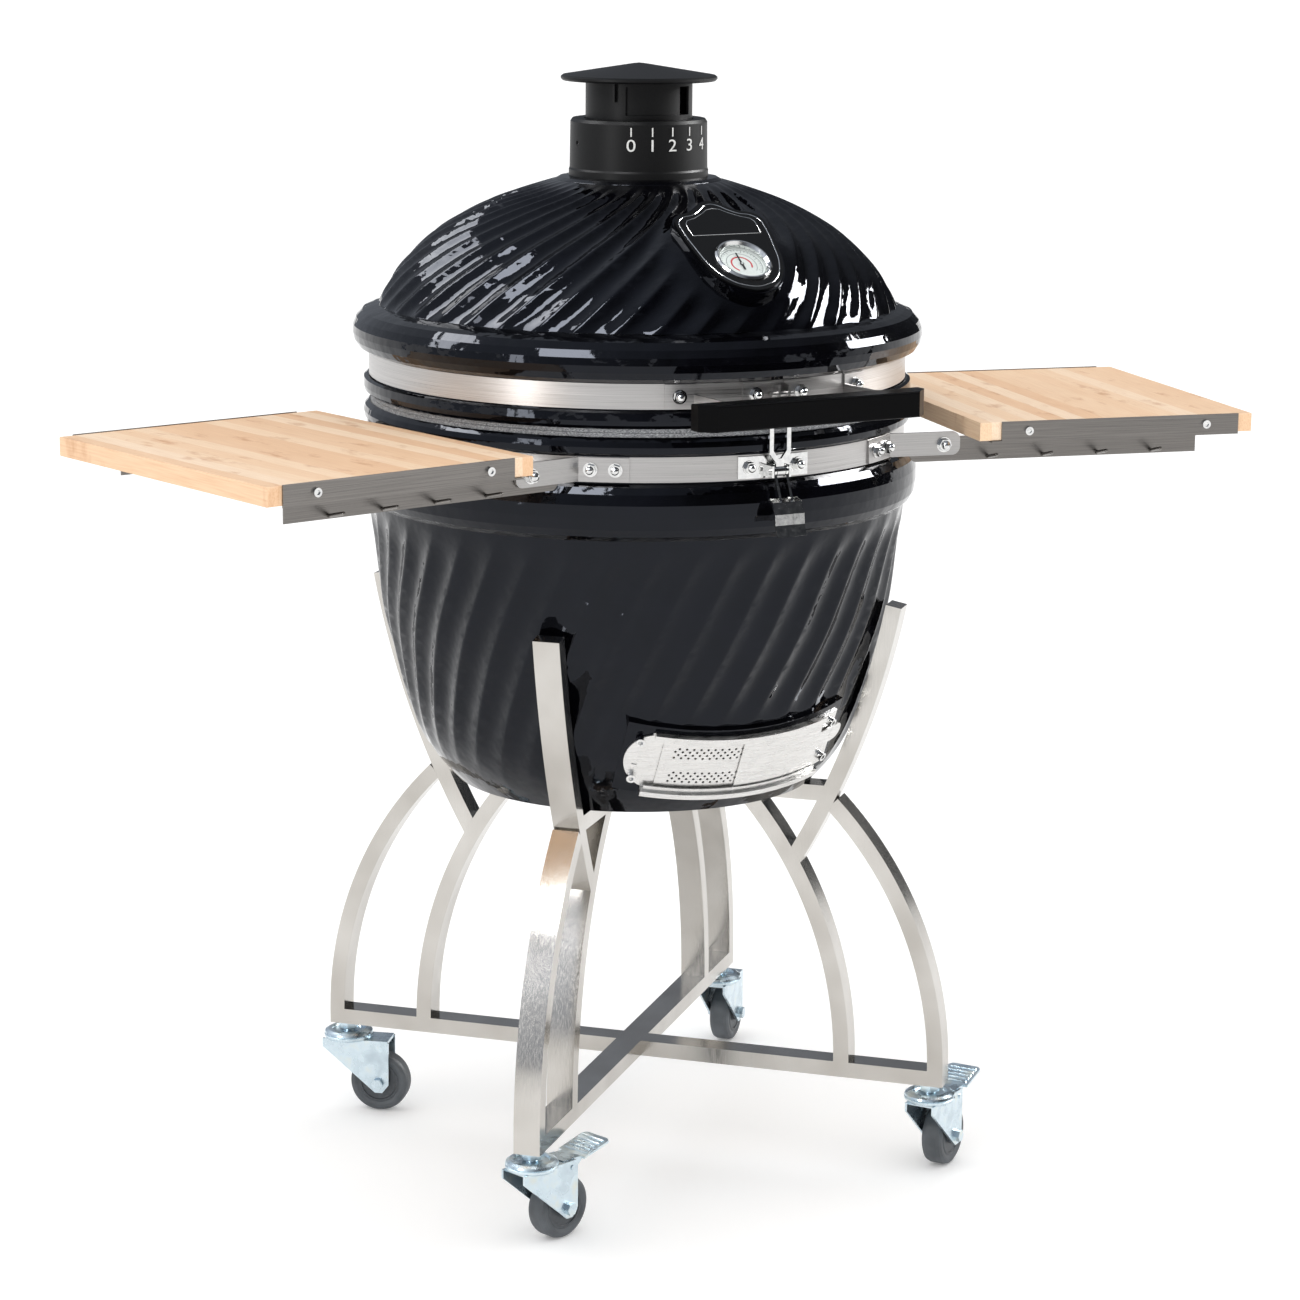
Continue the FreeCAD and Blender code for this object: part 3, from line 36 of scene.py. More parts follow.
# ---- Camera, floor and studio lights ---------------------------------------------------------
# A 100 mm view from the front left, a little above the shelves. The grill stands on a plain pale
# floor under a soft even sky. Four softboxes only show in the glaze, and a wide lamp overhead only
# fills, so the shadow stays faint.
camera_azimuth = math.radians(-27.474)
camera_pitch = math.radians(12.136)
camera_roll = math.radians(0.409)
camera_distance = 3.5984
camera_height = 1.2984
camera_lens = 100.05
sensor_width = 36.0
far_clip = 300.0

ahead = Vector((-math.sin(camera_azimuth) * math.cos(camera_pitch),
                math.cos(camera_azimuth) * math.cos(camera_pitch), -math.sin(camera_pitch)))
across = Vector((math.cos(camera_azimuth), math.sin(camera_azimuth), 0.0))
above = across.cross(ahead)
right = across * math.cos(camera_roll) + above * math.sin(camera_roll)
top = above * math.cos(camera_roll) - across * math.sin(camera_roll)
place = Matrix((right, top, -ahead)).transposed().to_4x4()
place.translation = (math.sin(camera_azimuth) * camera_distance,
                     -math.cos(camera_azimuth) * camera_distance, camera_height)
camera_data = bpy.data.cameras.new("camera")
camera_data.lens = camera_lens
camera_data.sensor_width = sensor_width
camera_data.shift_x = 0.0115
camera_data.shift_y = -0.001
camera_data.clip_end = far_clip
camera = bpy.data.objects.new("camera", camera_data)
bpy.context.scene.collection.objects.link(camera)
camera.matrix_world = place
bpy.context.scene.camera = camera
bpy.context.scene.view_settings.view_transform = "Standard"


def linear(code):
    """An sRGB hex colour as linear red, green, blue and alpha."""
    channels = [int(code[i:i + 2], 16) / 255.0 for i in (1, 3, 5)]
    straight = [c / 12.92 if c <= 0.04045 else ((c + 0.055) / 1.055) ** 2.4 for c in channels]
    return (*straight, 1.0)


def add(tree, kind, values=(), links=(), **settings):
    """Adds one node with its settings, its input values and the links that feed it."""
    made = tree.nodes.new("ShaderNode" + kind)
    for key, value in settings.items():
        setattr(made, key, value)
    for key, value in dict(values).items():
        made.inputs[key].default_value = value
    for key, source in dict(links).items():
        tree.links.new(source, made.inputs[key])
    return made


def start(name):
    """An empty material and its node tree."""
    made = bpy.data.materials.new(name)
    made.use_nodes = True
    made.node_tree.nodes.clear()
    return made, made.node_tree


def stops(ramp, *pairs):
    """Sets a colour ramp's stops to (position, hex colour) pairs."""
    ramp.color_ramp.elements.remove(ramp.color_ramp.elements[1])
    for index, (position, code) in enumerate(pairs):
        stop = ramp.color_ramp.elements[0] if index == 0 else ramp.color_ramp.elements.new(position)
        stop.position = position
        stop.color = linear(code)


def paint(material, *names):
    """Gives CAD nodes a material."""
    for name in names:
        mesh = nodes[name].data
        mesh.materials.clear()
        mesh.materials.append(material)


# The floor lies just under the wheels, and a little light of its own keeps it pale near them.
floor_size = 160.0
floor_level = -0.0006
bpy.ops.mesh.primitive_plane_add(size=floor_size, location=(0.0, 0.0, floor_level))
floor = bpy.context.object
floor.name = "studio_floor"
bpy.ops.object.mode_set(mode="EDIT")
bpy.ops.mesh.subdivide(number_cuts=3)
bpy.ops.object.mode_set(mode="OBJECT")
floor_paint, tree = start("pale matt studio floor")
coords = add(tree, "TexCoord")
speck = add(tree, "TexNoise", {"Scale": 3.0, "Detail": 2.0}, {"Vector": coords.outputs["Object"]})
tone = add(tree, "ValToRGB", links={"Fac": speck.outputs["Fac"]})
stops(tone, (0.3, "#fdfdfd"), (0.7, "#fefefe"))
shader = add(tree, "BsdfPrincipled",
             {"Roughness": 0.9, "Specular IOR Level": 0.1, "Emission Color": (1.0, 1.0, 1.0, 1.0),
              "Emission Strength": 0.12}, {"Base Color": tone.outputs["Color"]})
add(tree, "OutputMaterial", links={"Surface": shader.outputs["BSDF"]})
floor.data.materials.append(floor_paint)

world = bpy.data.worlds.new("soft studio sky")
bpy.context.scene.world = world
world.use_nodes = True
tree = world.node_tree
tree.nodes.clear()
path = add(tree, "LightPath")
coords = add(tree, "TexCoord")
window_side = (-0.72, 0.30, 0.62)
side = add(tree, "VectorMath", {1: window_side}, {0: coords.outputs["Object"]}, operation="DOT_PRODUCT")
glow = add(tree, "MapRange", {"From Min": -0.25, "From Max": 0.95, "To Min": 0.05, "To Max": 1.05},
           {"Value": side.outputs["Value"]})
sky = add(tree, "Background", {"Color": (1.0, 1.0, 1.0, 1.0), "Strength": 1.09})
room = add(tree, "Background", {"Color": linear("#c9d0dc")}, {"Strength": glow.outputs["Result"]})
mix = add(tree, "MixShader",
          links={0: path.outputs["Is Glossy Ray"], 1: sky.outputs[0], 2: room.outputs[0]})
add(tree, "OutputWorld", links={"Surface": mix.outputs[0]})


def softbox(name, size, spot, target, power):
    """A white rectangular area light that faces a target point."""
    data = bpy.data.lights.new(name, "AREA")
    data.shape = "RECTANGLE"
    data.size, data.size_y = size
    data.energy = power
    lamp = bpy.data.objects.new(name, data)
    bpy.context.scene.collection.objects.link(lamp)
    lamp.location = spot
    lamp.rotation_euler = (Vector(target) - Vector(spot)).to_track_quat("-Z", "Y").to_euler()
    return lamp


lid_middle = (0.0, 0.0, 0.9)
body_middle = (0.0, 0.0, 0.7)
for name, size, spot, target, power in (
        ("left_softbox", (1.0, 1.5), (-1.9, -1.2, 3.1), lid_middle, 80.0),
        ("back_left_softbox", (1.6, 1.6), (-2.2, 1.4, 2.9), lid_middle, 90.0),
        ("right_softbox", (1.3, 1.5), (2.9, -0.5, 2.3), lid_middle, 260.0),
        ("low_left_softbox", (0.5, 1.6), (-3.0, -0.9, 1.2), body_middle, 22.0)):
    softbox(name, size, spot, target, power).visible_diffuse = False
overhead = softbox("overhead_fill", (2.6, 2.6), (-0.8, -0.6, 4.2), (0.0, 0.0, 0.3), 14.0)
overhead.visible_glossy = False

# ---- Stand: polished stainless tube ----------------------------------------------------------
# Flat stainless tube, bent to arcs, TIG welded and polished along its length. The polish leaves
# fine lengthwise lines and soft waves, so reflections stretch and wander a little.
tube_steel, tree = start("polished stainless tube")
coords = add(tree, "TexCoord")
long_map = add(tree, "Mapping", {"Scale": (900.0, 900.0, 40.0)}, {"Vector": coords.outputs["Object"]})
lines = add(tree, "TexNoise", {"Scale": 1.0, "Detail": 3.0}, {"Vector": long_map.outputs["Vector"]})
waves = add(tree, "TexNoise", {"Scale": 14.0, "Detail": 2.0}, {"Vector": coords.outputs["Object"]})
rough = add(tree, "MapRange", {"From Min": 0.3, "From Max": 0.7, "To Min": 0.12, "To Max": 0.24},
            {"Value": lines.outputs["Fac"]})
tone = add(tree, "ValToRGB", links={"Fac": waves.outputs["Fac"]})
stops(tone, (0.3, "#b3afa9"), (0.7, "#c8c5c0"))
bump = add(tree, "Bump", {"Strength": 0.05, "Distance": 0.002}, {"Height": waves.outputs["Fac"]})
shader = add(tree, "BsdfPrincipled", {"Metallic": 1.0},
             {"Base Color": tone.outputs["Color"], "Roughness": rough.outputs["Result"],
              "Normal": bump.outputs["Normal"]})
add(tree, "OutputMaterial", links={"Surface": shader.outputs["BSDF"]})
paint(tube_steel, "base_bars", "outer_legs", "inner_legs", "cradle_struts", "cradle_bars")

# ---- Casters ---------------------------------------------------------------------------------
# Pressed steel forks with a blue-white zinc plate, which looks satin, slightly cloudy and cool.
# The wheels are grey-black thermoplastic rubber moulded on a darker polypropylene hub.
zinc, tree = start("blue-white zinc plated pressed steel")
coords = add(tree, "TexCoord")
cloud = add(tree, "TexNoise", {"Scale": 60.0, "Detail": 4.0}, {"Vector": coords.outputs["Object"]})
tone = add(tree, "ValToRGB", links={"Fac": cloud.outputs["Fac"]})
stops(tone, (0.3, "#bccbd4"), (0.55, "#d3e2ea"), (0.75, "#dde2dc"))
rough = add(tree, "MapRange", {"From Min": 0.3, "From Max": 0.7, "To Min": 0.2, "To Max": 0.36},
            {"Value": cloud.outputs["Fac"]})
bump = add(tree, "Bump", {"Strength": 0.08, "Distance": 0.0006}, {"Height": cloud.outputs["Fac"]})
shader = add(tree, "BsdfPrincipled", {"Metallic": 1.0},
             {"Base Color": tone.outputs["Color"], "Roughness": rough.outputs["Result"],
              "Normal": bump.outputs["Normal"]})
add(tree, "OutputMaterial", links={"Surface": shader.outputs["BSDF"]})
corners = ("rear_left", "front_left", "front_right", "rear_right")
paint(zinc, "caster_stems", "pedal_front_left", "pedal_front_right", *["fork_" + c for c in corners])

tread, tree = start("moulded thermoplastic rubber tread")
coords = add(tree, "TexCoord")
grit = add(tree, "TexNoise", {"Scale": 900.0, "Detail": 3.0}, {"Vector": coords.outputs["Object"]})
scuff = add(tree, "TexNoise", {"Scale": 45.0, "Detail": 3.0}, {"Vector": coords.outputs["Object"]})
tone = add(tree, "ValToRGB", links={"Fac": scuff.outputs["Fac"]})
stops(tone, (0.35, "#44484c"), (0.7, "#565b60"))
bump = add(tree, "Bump", {"Strength": 0.15, "Distance": 0.0003}, {"Height": grit.outputs["Fac"]})
shader = add(tree, "BsdfPrincipled", {"Roughness": 0.55, "IOR": 1.5},
             {"Base Color": tone.outputs["Color"], "Normal": bump.outputs["Normal"]})
add(tree, "OutputMaterial", links={"Surface": shader.outputs["BSDF"]})
paint(tread, *["tyre_" + c for c in corners])

hub_plastic, tree = start("moulded polypropylene hub")
coords = add(tree, "TexCoord")
grain = add(tree, "TexNoise", {"Scale": 300.0, "Detail": 2.0}, {"Vector": coords.outputs["Object"]})
tone = add(tree, "ValToRGB", links={"Fac": grain.outputs["Fac"]})
stops(tone, (0.3, "#3d4145"), (0.7, "#474b50"))
bump = add(tree, "Bump", {"Strength": 0.1, "Distance": 0.0003}, {"Height": grain.outputs["Fac"]})
shader = add(tree, "BsdfPrincipled", {"Roughness": 0.42, "IOR": 1.49},
             {"Base Color": tone.outputs["Color"], "Normal": bump.outputs["Normal"]})
add(tree, "OutputMaterial", links={"Surface": shader.outputs["BSDF"]})
paint(hub_plastic, *["hub_" + c for c in corners])

# ---- Body and lid: glazed ceramic ------------------------------------------------------------
# Thick slip-cast cordierite with a black gloss glaze. The glaze pools a little in the flutes, so
# its surface is glassy with a slow orange-peel ripple that breaks up long reflections.
glaze, tree = start("black gloss glaze on cast ceramic")
coords = add(tree, "TexCoord")
ripple = add(tree, "TexNoise", {"Scale": 38.0, "Detail": 2.0}, {"Vector": coords.outputs["Object"]})
peel = add(tree, "TexNoise", {"Scale": 420.0, "Detail": 1.0}, {"Vector": coords.outputs["Object"]})
tone = add(tree, "ValToRGB", links={"Fac": ripple.outputs["Fac"]})
stops(tone, (0.3, "#030304"), (0.7, "#06060a"))
rough = add(tree, "MapRange", {"From Min": 0.3, "From Max": 0.7, "To Min": 0.03, "To Max": 0.075},
            {"Value": peel.outputs["Fac"]})
slow = add(tree, "Bump", {"Strength": 0.35, "Distance": 0.003}, {"Height": ripple.outputs["Fac"]})
bump = add(tree, "Bump", {"Strength": 0.05, "Distance": 0.0004},
           {"Height": peel.outputs["Fac"], "Normal": slow.outputs["Normal"]})
shader = add(tree, "BsdfPrincipled", {"IOR": 1.36, "Specular Tint": linear("#dfe6f6")},
             {"Base Color": tone.outputs["Color"], "Roughness": rough.outputs["Result"],
              "Normal": bump.outputs["Normal"]})
add(tree, "OutputMaterial", links={"Surface": shader.outputs["BSDF"]})
paint(glaze, "base_shell", "lid_shell")

# ---- Fire parts ------------------------------------------------------------------------------
# The firebox and fire ring are unglazed buff cordierite, pressed and fired, chalky with fine pores.
# The charcoal grate is sand-cast iron and the cooking grate polished stainless rod.
refractory, tree = start("unglazed fired cordierite")
coords = add(tree, "TexCoord")
pores = add(tree, "TexNoise", {"Scale": 260.0, "Detail": 5.0}, {"Vector": coords.outputs["Object"]})
tone = add(tree, "ValToRGB", links={"Fac": pores.outputs["Fac"]})
stops(tone, (0.3, "#b39a78"), (0.7, "#cdb794"))
bump = add(tree, "Bump", {"Strength": 0.4, "Distance": 0.0006}, {"Height": pores.outputs["Fac"]})
shader = add(tree, "BsdfPrincipled", {"Roughness": 0.9},
             {"Base Color": tone.outputs["Color"], "Normal": bump.outputs["Normal"]})
add(tree, "OutputMaterial", links={"Surface": shader.outputs["BSDF"]})
paint(refractory, "firebox", "fire_ring")

cast_iron, tree = start("sand-cast iron")
coords = add(tree, "TexCoord")
sand = add(tree, "TexNoise", {"Scale": 700.0, "Detail": 4.0}, {"Vector": coords.outputs["Object"]})
tone = add(tree, "ValToRGB", links={"Fac": sand.outputs["Fac"]})
stops(tone, (0.3, "#1c1b1a"), (0.7, "#2d2b29"))
bump = add(tree, "Bump", {"Strength": 0.5, "Distance": 0.0006}, {"Height": sand.outputs["Fac"]})
shader = add(tree, "BsdfPrincipled", {"Roughness": 0.7, "Metallic": 0.6},
             {"Base Color": tone.outputs["Color"], "Normal": bump.outputs["Normal"]})
add(tree, "OutputMaterial", links={"Surface": shader.outputs["BSDF"]})
paint(cast_iron, "charcoal_grate")
paint(tube_steel, "cooking_grate")

# ---- Gaskets ---------------------------------------------------------------------------------
# Grey woven glass-fibre felt glued to both rims. It is fuzzy and speckled light and dark grey.
felt, tree = start("woven glass fibre felt")
coords = add(tree, "TexCoord")
fibre_map = add(tree, "Mapping", {"Scale": (1.0, 1.0, 2.6)}, {"Vector": coords.outputs["Object"]})
fibre = add(tree, "TexNoise", {"Scale": 520.0, "Detail": 4.0, "Roughness": 0.7},
            {"Vector": fibre_map.outputs["Vector"]})
tone = add(tree, "ValToRGB", links={"Fac": fibre.outputs["Fac"]})
stops(tone, (0.36, "#4a4b4e"), (0.5, "#8a8c90"), (0.62, "#c6c8ca"))
bump = add(tree, "Bump", {"Strength": 0.8, "Distance": 0.0012}, {"Height": fibre.outputs["Fac"]})
shader = add(tree, "BsdfPrincipled", {"Roughness": 0.95, "Sheen Weight": 0.4},
             {"Base Color": tone.outputs["Color"], "Normal": bump.outputs["Normal"]})
add(tree, "OutputMaterial", links={"Surface": shader.outputs["BSDF"]})
paint(felt, "base_gasket", "lid_gasket")

# ---- Bands, brackets, hinge and shelf rails --------------------------------------------------
# Cold-rolled stainless strip, brushed along its length before it was bent round the ceramic.
# The brush lines run level, under 1 mm apart, and smear reflections up and down. The shelf rails
# are a darker grade with the same brush.
band_nodes = ("lower_band", "upper_band", "band_clamp", "shelf_arms", "hinge_lower", "hinge_upper",
              "handle_brackets")
rail_nodes = ("shelf_rails_left", "shelf_rails_right")
for name, brush_scale, dark, light, steel_nodes in (
        ("lengthwise brushed stainless strip", (9.0, 9.0, 2600.0), "#a3a1a0", "#c4c2c0", band_nodes),
        ("lengthwise brushed shelf rail steel", (12.0, 12.0, 2200.0), "#6f6c69", "#8f8b87", rail_nodes)):
    brushed, tree = start(name)
    coords = add(tree, "TexCoord")
    line_map = add(tree, "Mapping", {"Scale": brush_scale}, {"Vector": coords.outputs["Object"]})
    lines = add(tree, "TexNoise", {"Scale": 1.0, "Detail": 3.0, "Roughness": 0.6},
                {"Vector": line_map.outputs["Vector"]})
    tone = add(tree, "ValToRGB", links={"Fac": lines.outputs["Fac"]})
    stops(tone, (0.3, dark), (0.7, light))
    rough = add(tree, "MapRange", {"From Min": 0.3, "From Max": 0.7, "To Min": 0.26, "To Max": 0.4},
                {"Value": lines.outputs["Fac"]})
    bump = add(tree, "Bump", {"Strength": 0.12, "Distance": 0.0002}, {"Height": lines.outputs["Fac"]})
    shader = add(tree, "BsdfPrincipled", {"Metallic": 1.0},
                 {"Base Color": tone.outputs["Color"], "Roughness": rough.outputs["Result"],
                  "Normal": bump.outputs["Normal"]})
    add(tree, "OutputMaterial", links={"Surface": shader.outputs["BSDF"]})
    paint(brushed, *steel_nodes)

# ---- Nuts, bolts and latch -------------------------------------------------------------------
# Dome nuts, screws and the toggle latch are stainless, tumbled and electropolished to a bright
# mirror with only faint marks left.
bright, tree = start("electropolished stainless hardware")
coords = add(tree, "TexCoord")
marks = add(tree, "TexNoise", {"Scale": 240.0, "Detail": 3.0}, {"Vector": coords.outputs["Object"]})
tone = add(tree, "ValToRGB", links={"Fac": marks.outputs["Fac"]})
stops(tone, (0.3, "#cfcfcf"), (0.7, "#e6e6e4"))
rough = add(tree, "MapRange", {"From Min": 0.3, "From Max": 0.7, "To Min": 0.06, "To Max": 0.15},
            {"Value": marks.outputs["Fac"]})
shader = add(tree, "BsdfPrincipled", {"Metallic": 1.0},
             {"Base Color": tone.outputs["Color"], "Roughness": rough.outputs["Result"]})
add(tree, "OutputMaterial", links={"Surface": shader.outputs["BSDF"]})
paint(bright, "base_fasteners", "lid_fasteners", "hinge_pin", "shelf_screws_left", "shelf_screws_right",
      "latch_plate", "latch_lever", "latch_link", "dial_case")

# ---- Draft door ------------------------------------------------------------------------------
# Thin 2B stainless sheet, laser cut and rolled to the body's curve. 2B is a pale, even, milky
# finish with a faint rolled grain.
sheet_steel, tree = start("2B rolled stainless sheet")
coords = add(tree, "TexCoord")
roll_map = add(tree, "Mapping", {"Scale": (60.0, 60.0, 900.0)}, {"Vector": coords.outputs["Object"]})
roll = add(tree, "TexNoise", {"Scale": 1.0, "Detail": 3.0}, {"Vector": roll_map.outputs["Vector"]})
tone = add(tree, "ValToRGB", links={"Fac": roll.outputs["Fac"]})
stops(tone, (0.3, "#d2d1cf"), (0.7, "#e4e3e1"))
rough = add(tree, "MapRange", {"From Min": 0.3, "From Max": 0.7, "To Min": 0.24, "To Max": 0.34},
            {"Value": roll.outputs["Fac"]})
shader = add(tree, "BsdfPrincipled", {"Metallic": 1.0},
             {"Base Color": tone.outputs["Color"], "Roughness": rough.outputs["Result"]})
add(tree, "OutputMaterial", links={"Surface": shader.outputs["BSDF"]})
paint(sheet_steel, "draft_frame", "draft_door", "draft_screen")

# ---- Shelves: laminated bamboo ---------------------------------------------------------------
# Boards of glued bamboo strips, each about 20 mm wide, that run from back to front. Every strip
# has its own tint, fine fibres along it and the odd darker node, under a thin clear oil.
board_sweep = math.radians(11.4)
strips_per_metre = 50.0
for side, tag in ((1.0, "right"), (-1.0, "left")):
    bamboo, tree = start("oiled laminated bamboo " + tag)
    coords = add(tree, "TexCoord")
    square = add(tree, "Mapping", {"Rotation": (0.0, 0.0, side * board_sweep)},
                 {"Vector": coords.outputs["Object"]})
    axes = add(tree, "SeparateXYZ", links={"Vector": square.outputs["Vector"]})
    strip = add(tree, "Math", {1: strips_per_metre}, {0: axes.outputs["X"]}, operation="MULTIPLY")
    number = add(tree, "Math", links={0: strip.outputs[0]}, operation="FLOOR")
    pick = add(tree, "TexWhiteNoise", links={"W": number.outputs[0]}, noise_dimensions="1D")
    fibre_map = add(tree, "Mapping", {"Scale": (1500.0, 22.0, 600.0)}, {"Vector": square.outputs["Vector"]})
    fibres = add(tree, "TexNoise", {"Scale": 1.0, "Detail": 4.0}, {"Vector": fibre_map.outputs["Vector"]})
    shift = add(tree, "CombineXYZ", links={"X": pick.outputs["Value"], "Y": number.outputs[0]})
    spread = add(tree, "VectorMath", links={0: square.outputs["Vector"], 1: shift.outputs["Vector"]},
                 operation="ADD")
    knot_map = add(tree, "Mapping", {"Scale": (35.0, 14.0, 6.0)}, {"Vector": spread.outputs["Vector"]})
    knots = add(tree, "TexNoise", {"Scale": 1.0, "Detail": 5.0, "Roughness": 0.62},
                {"Vector": knot_map.outputs["Vector"]})
    tint = add(tree, "ValToRGB", links={"Fac": pick.outputs["Value"]})
    stops(tint, (0.0, "#f1c8a0"), (0.5, "#f9d9b6"), (1.0, "#fde4c8"))
    fibre_tone = add(tree, "ValToRGB", links={"Fac": fibres.outputs["Fac"]})
    stops(fibre_tone, (0.3, "#eedfd0"), (0.6, "#ffffff"))
    knot_tone = add(tree, "ValToRGB", links={"Fac": knots.outputs["Fac"]})
    stops(knot_tone, (0.3, "#c99a62"), (0.42, "#ffffff"))
    grained = add(tree, "MixRGB", {"Fac": 0.7},
                  {"Color1": tint.outputs["Color"], "Color2": fibre_tone.outputs["Color"]},
                  blend_type="MULTIPLY")
    knotted = add(tree, "MixRGB", {"Fac": 0.55},
                  {"Color1": grained.outputs["Color"], "Color2": knot_tone.outputs["Color"]},
                  blend_type="MULTIPLY")
    rough = add(tree, "MapRange", {"From Min": 0.3, "From Max": 0.7, "To Min": 0.42, "To Max": 0.58},
                {"Value": fibres.outputs["Fac"]})
    bump = add(tree, "Bump", {"Strength": 0.1, "Distance": 0.0003}, {"Height": fibres.outputs["Fac"]})
    shader = add(tree, "BsdfPrincipled", {"IOR": 1.46},
                 {"Base Color": knotted.outputs["Color"], "Roughness": rough.outputs["Result"],
                  "Normal": bump.outputs["Normal"]})
    add(tree, "OutputMaterial", links={"Surface": shader.outputs["BSDF"]})
    paint(bamboo, "shelf_board_" + tag)

# ---- Chimney, handle and badge ---------------------------------------------------------------
# Cast aluminium and steel with a black powder coat baked on. The coat is matt with a fine even
# pebble, so lights spread on it as a soft grey sheen.
coat, tree = start("baked black powder coat")
coords = add(tree, "TexCoord")
pebble = add(tree, "TexNoise", {"Scale": 1100.0, "Detail": 2.0}, {"Vector": coords.outputs["Object"]})
tone = add(tree, "ValToRGB", links={"Fac": pebble.outputs["Fac"]})
stops(tone, (0.3, "#0b0b0c"), (0.7, "#111112"))
bump = add(tree, "Bump", {"Strength": 0.15, "Distance": 0.0003}, {"Height": pebble.outputs["Fac"]})
shader = add(tree, "BsdfPrincipled", {"Roughness": 0.42, "IOR": 1.25},
             {"Base Color": tone.outputs["Color"], "Normal": bump.outputs["Normal"]})
add(tree, "OutputMaterial", links={"Surface": shader.outputs["BSDF"]})
paint(coat, "chimney_collar", "damper_cap", "damper_sleeve")

# The handle and the badge are a deeper black, with a smoother satin lacquer. The handle's is flatted,
# so it shows almost no sheen.
for finish, gloss, name in (("satin", 0.5, "badge_plate"), ("flatted", 0.14, "handle_bar")):
    lacquer, tree = start(finish + " black lacquer")
    coords = add(tree, "TexCoord")
    pebble = add(tree, "TexNoise", {"Scale": 900.0, "Detail": 2.0}, {"Vector": coords.outputs["Object"]})
    tone = add(tree, "ValToRGB", links={"Fac": pebble.outputs["Fac"]})
    stops(tone, (0.3, "#020203"), (0.7, "#050506"))
    bump = add(tree, "Bump", {"Strength": 0.08, "Distance": 0.0002}, {"Height": pebble.outputs["Fac"]})
    shader = add(tree, "BsdfPrincipled", {"Roughness": 0.28, "IOR": 1.3, "Specular IOR Level": gloss},
                 {"Base Color": tone.outputs["Color"], "Normal": bump.outputs["Normal"]})
    add(tree, "OutputMaterial", links={"Surface": shader.outputs["BSDF"]})
    paint(lacquer, name)

# ---- Thermometer badge -----------------------------------------------------------------------
# A stamped shield with a bright raised rim line and a blank name panel. The dial is a white enamelled
# disc behind flat glass, screen printed with grey scale rings, ticks and a comfort arc.
def film(name, grain, dark, light, roughness):
    """A thin opaque film of enamel or ink with a slight unevenness of tone."""
    made, tree = start(name)
    coords = add(tree, "TexCoord")
    wear = add(tree, "TexNoise", {"Scale": grain, "Detail": 2.0}, {"Vector": coords.outputs["Object"]})
    tone = add(tree, "ValToRGB", links={"Fac": wear.outputs["Fac"]})
    stops(tone, (0.3, dark), (0.7, light))
    shader = add(tree, "BsdfPrincipled", {"Roughness": roughness}, {"Base Color": tone.outputs["Color"]})
    add(tree, "OutputMaterial", links={"Surface": shader.outputs["BSDF"]})
    return made


dial_white = film("printed white dial enamel", 80.0, "#ecece8", "#f4f4f1", 0.5)
ink = film("grey screen printing ink", 500.0, "#4a4c50", "#5c5e62", 0.6)
red_ink = film("red screen printing ink", 500.0, "#d32433", "#dc3541", 0.6)
paint(dial_white, "dial_face")
paint(coat, "dial_needle")

# A flat coated pane barely shows, apart from a faint glare.
lens, tree = start("flat float glass")
coords = add(tree, "TexCoord")
smear = add(tree, "TexNoise", {"Scale": 120.0, "Detail": 2.0}, {"Vector": coords.outputs["Object"]})
rough = add(tree, "MapRange", {"From Min": 0.3, "From Max": 0.7, "To Min": 0.0, "To Max": 0.03},
            {"Value": smear.outputs["Fac"]})
through = add(tree, "BsdfTransparent", {"Color": linear("#fbfdfd")})
glare = add(tree, "BsdfGlossy", links={"Roughness": rough.outputs["Result"]})
pane = add(tree, "MixShader", {0: 0.04}, {1: through.outputs[0], 2: glare.outputs[0]})
add(tree, "OutputMaterial", links={"Surface": pane.outputs[0]})
paint(lens, "dial_lens")

badge_lean = math.radians(55.0)
badge_place = Matrix(((1.0, 0.0, 0.0), (0.0, math.sin(badge_lean), math.cos(badge_lean)),
                      (0.0, -math.cos(badge_lean), math.sin(badge_lean)))).transposed().to_4x4()
badge_place.translation = (-0.0042, -0.2216, 0.9397)
badge_face = 0.0022
dial_print = -0.00218


def settle(piece, place, paint_with, body):
    """Moves a finished mesh to its place, then gives it its material and body."""
    bpy.ops.object.select_all(action="DESELECT")
    piece.select_set(True)
    bpy.context.view_layer.objects.active = piece
    piece.matrix_world = place
    bpy.ops.object.transform_apply(location=True, rotation=True, scale=True)
    piece.data.materials.clear()
    piece.data.materials.append(paint_with)
    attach(piece, body)


def drawn_line(name, paths, width, height, closed=False, smooth=False):
    """A thin raised line drawn in millimetres on local XY, with a flat half-round section."""
    data = bpy.data.curves.new(name, "CURVE")
    data.dimensions = "3D"
    data.bevel_depth = width / 2000.0
    data.bevel_resolution = 2
    data.resolution_u = 6
    data.use_fill_caps = True
    for path in paths:
        spline = data.splines.new("BEZIER" if smooth else "POLY")
        points = spline.bezier_points if smooth else spline.points
        points.add(len(path) - 1)
        for point, (x, y) in zip(points, path):
            spot = (x / 1000.0, y / 1000.0, 0.0)
            point.co = spot if smooth else (*spot, 1.0)
            if smooth:
                point.handle_left_type = point.handle_right_type = "AUTO"
        spline.use_cyclic_u = closed
    line = bpy.data.objects.new(name, data)
    bpy.context.scene.collection.objects.link(line)
    bpy.ops.object.select_all(action="DESELECT")
    line.select_set(True)
    bpy.context.view_layer.objects.active = line
    bpy.ops.object.convert(target="MESH")
    line = bpy.context.object
    line.name = name
    line.scale = (1.0, 1.0, height / width)
    bpy.ops.object.transform_apply(location=True, rotation=True, scale=True)
    bpy.ops.object.shade_smooth_by_angle(angle=math.radians(40.0))
    return line


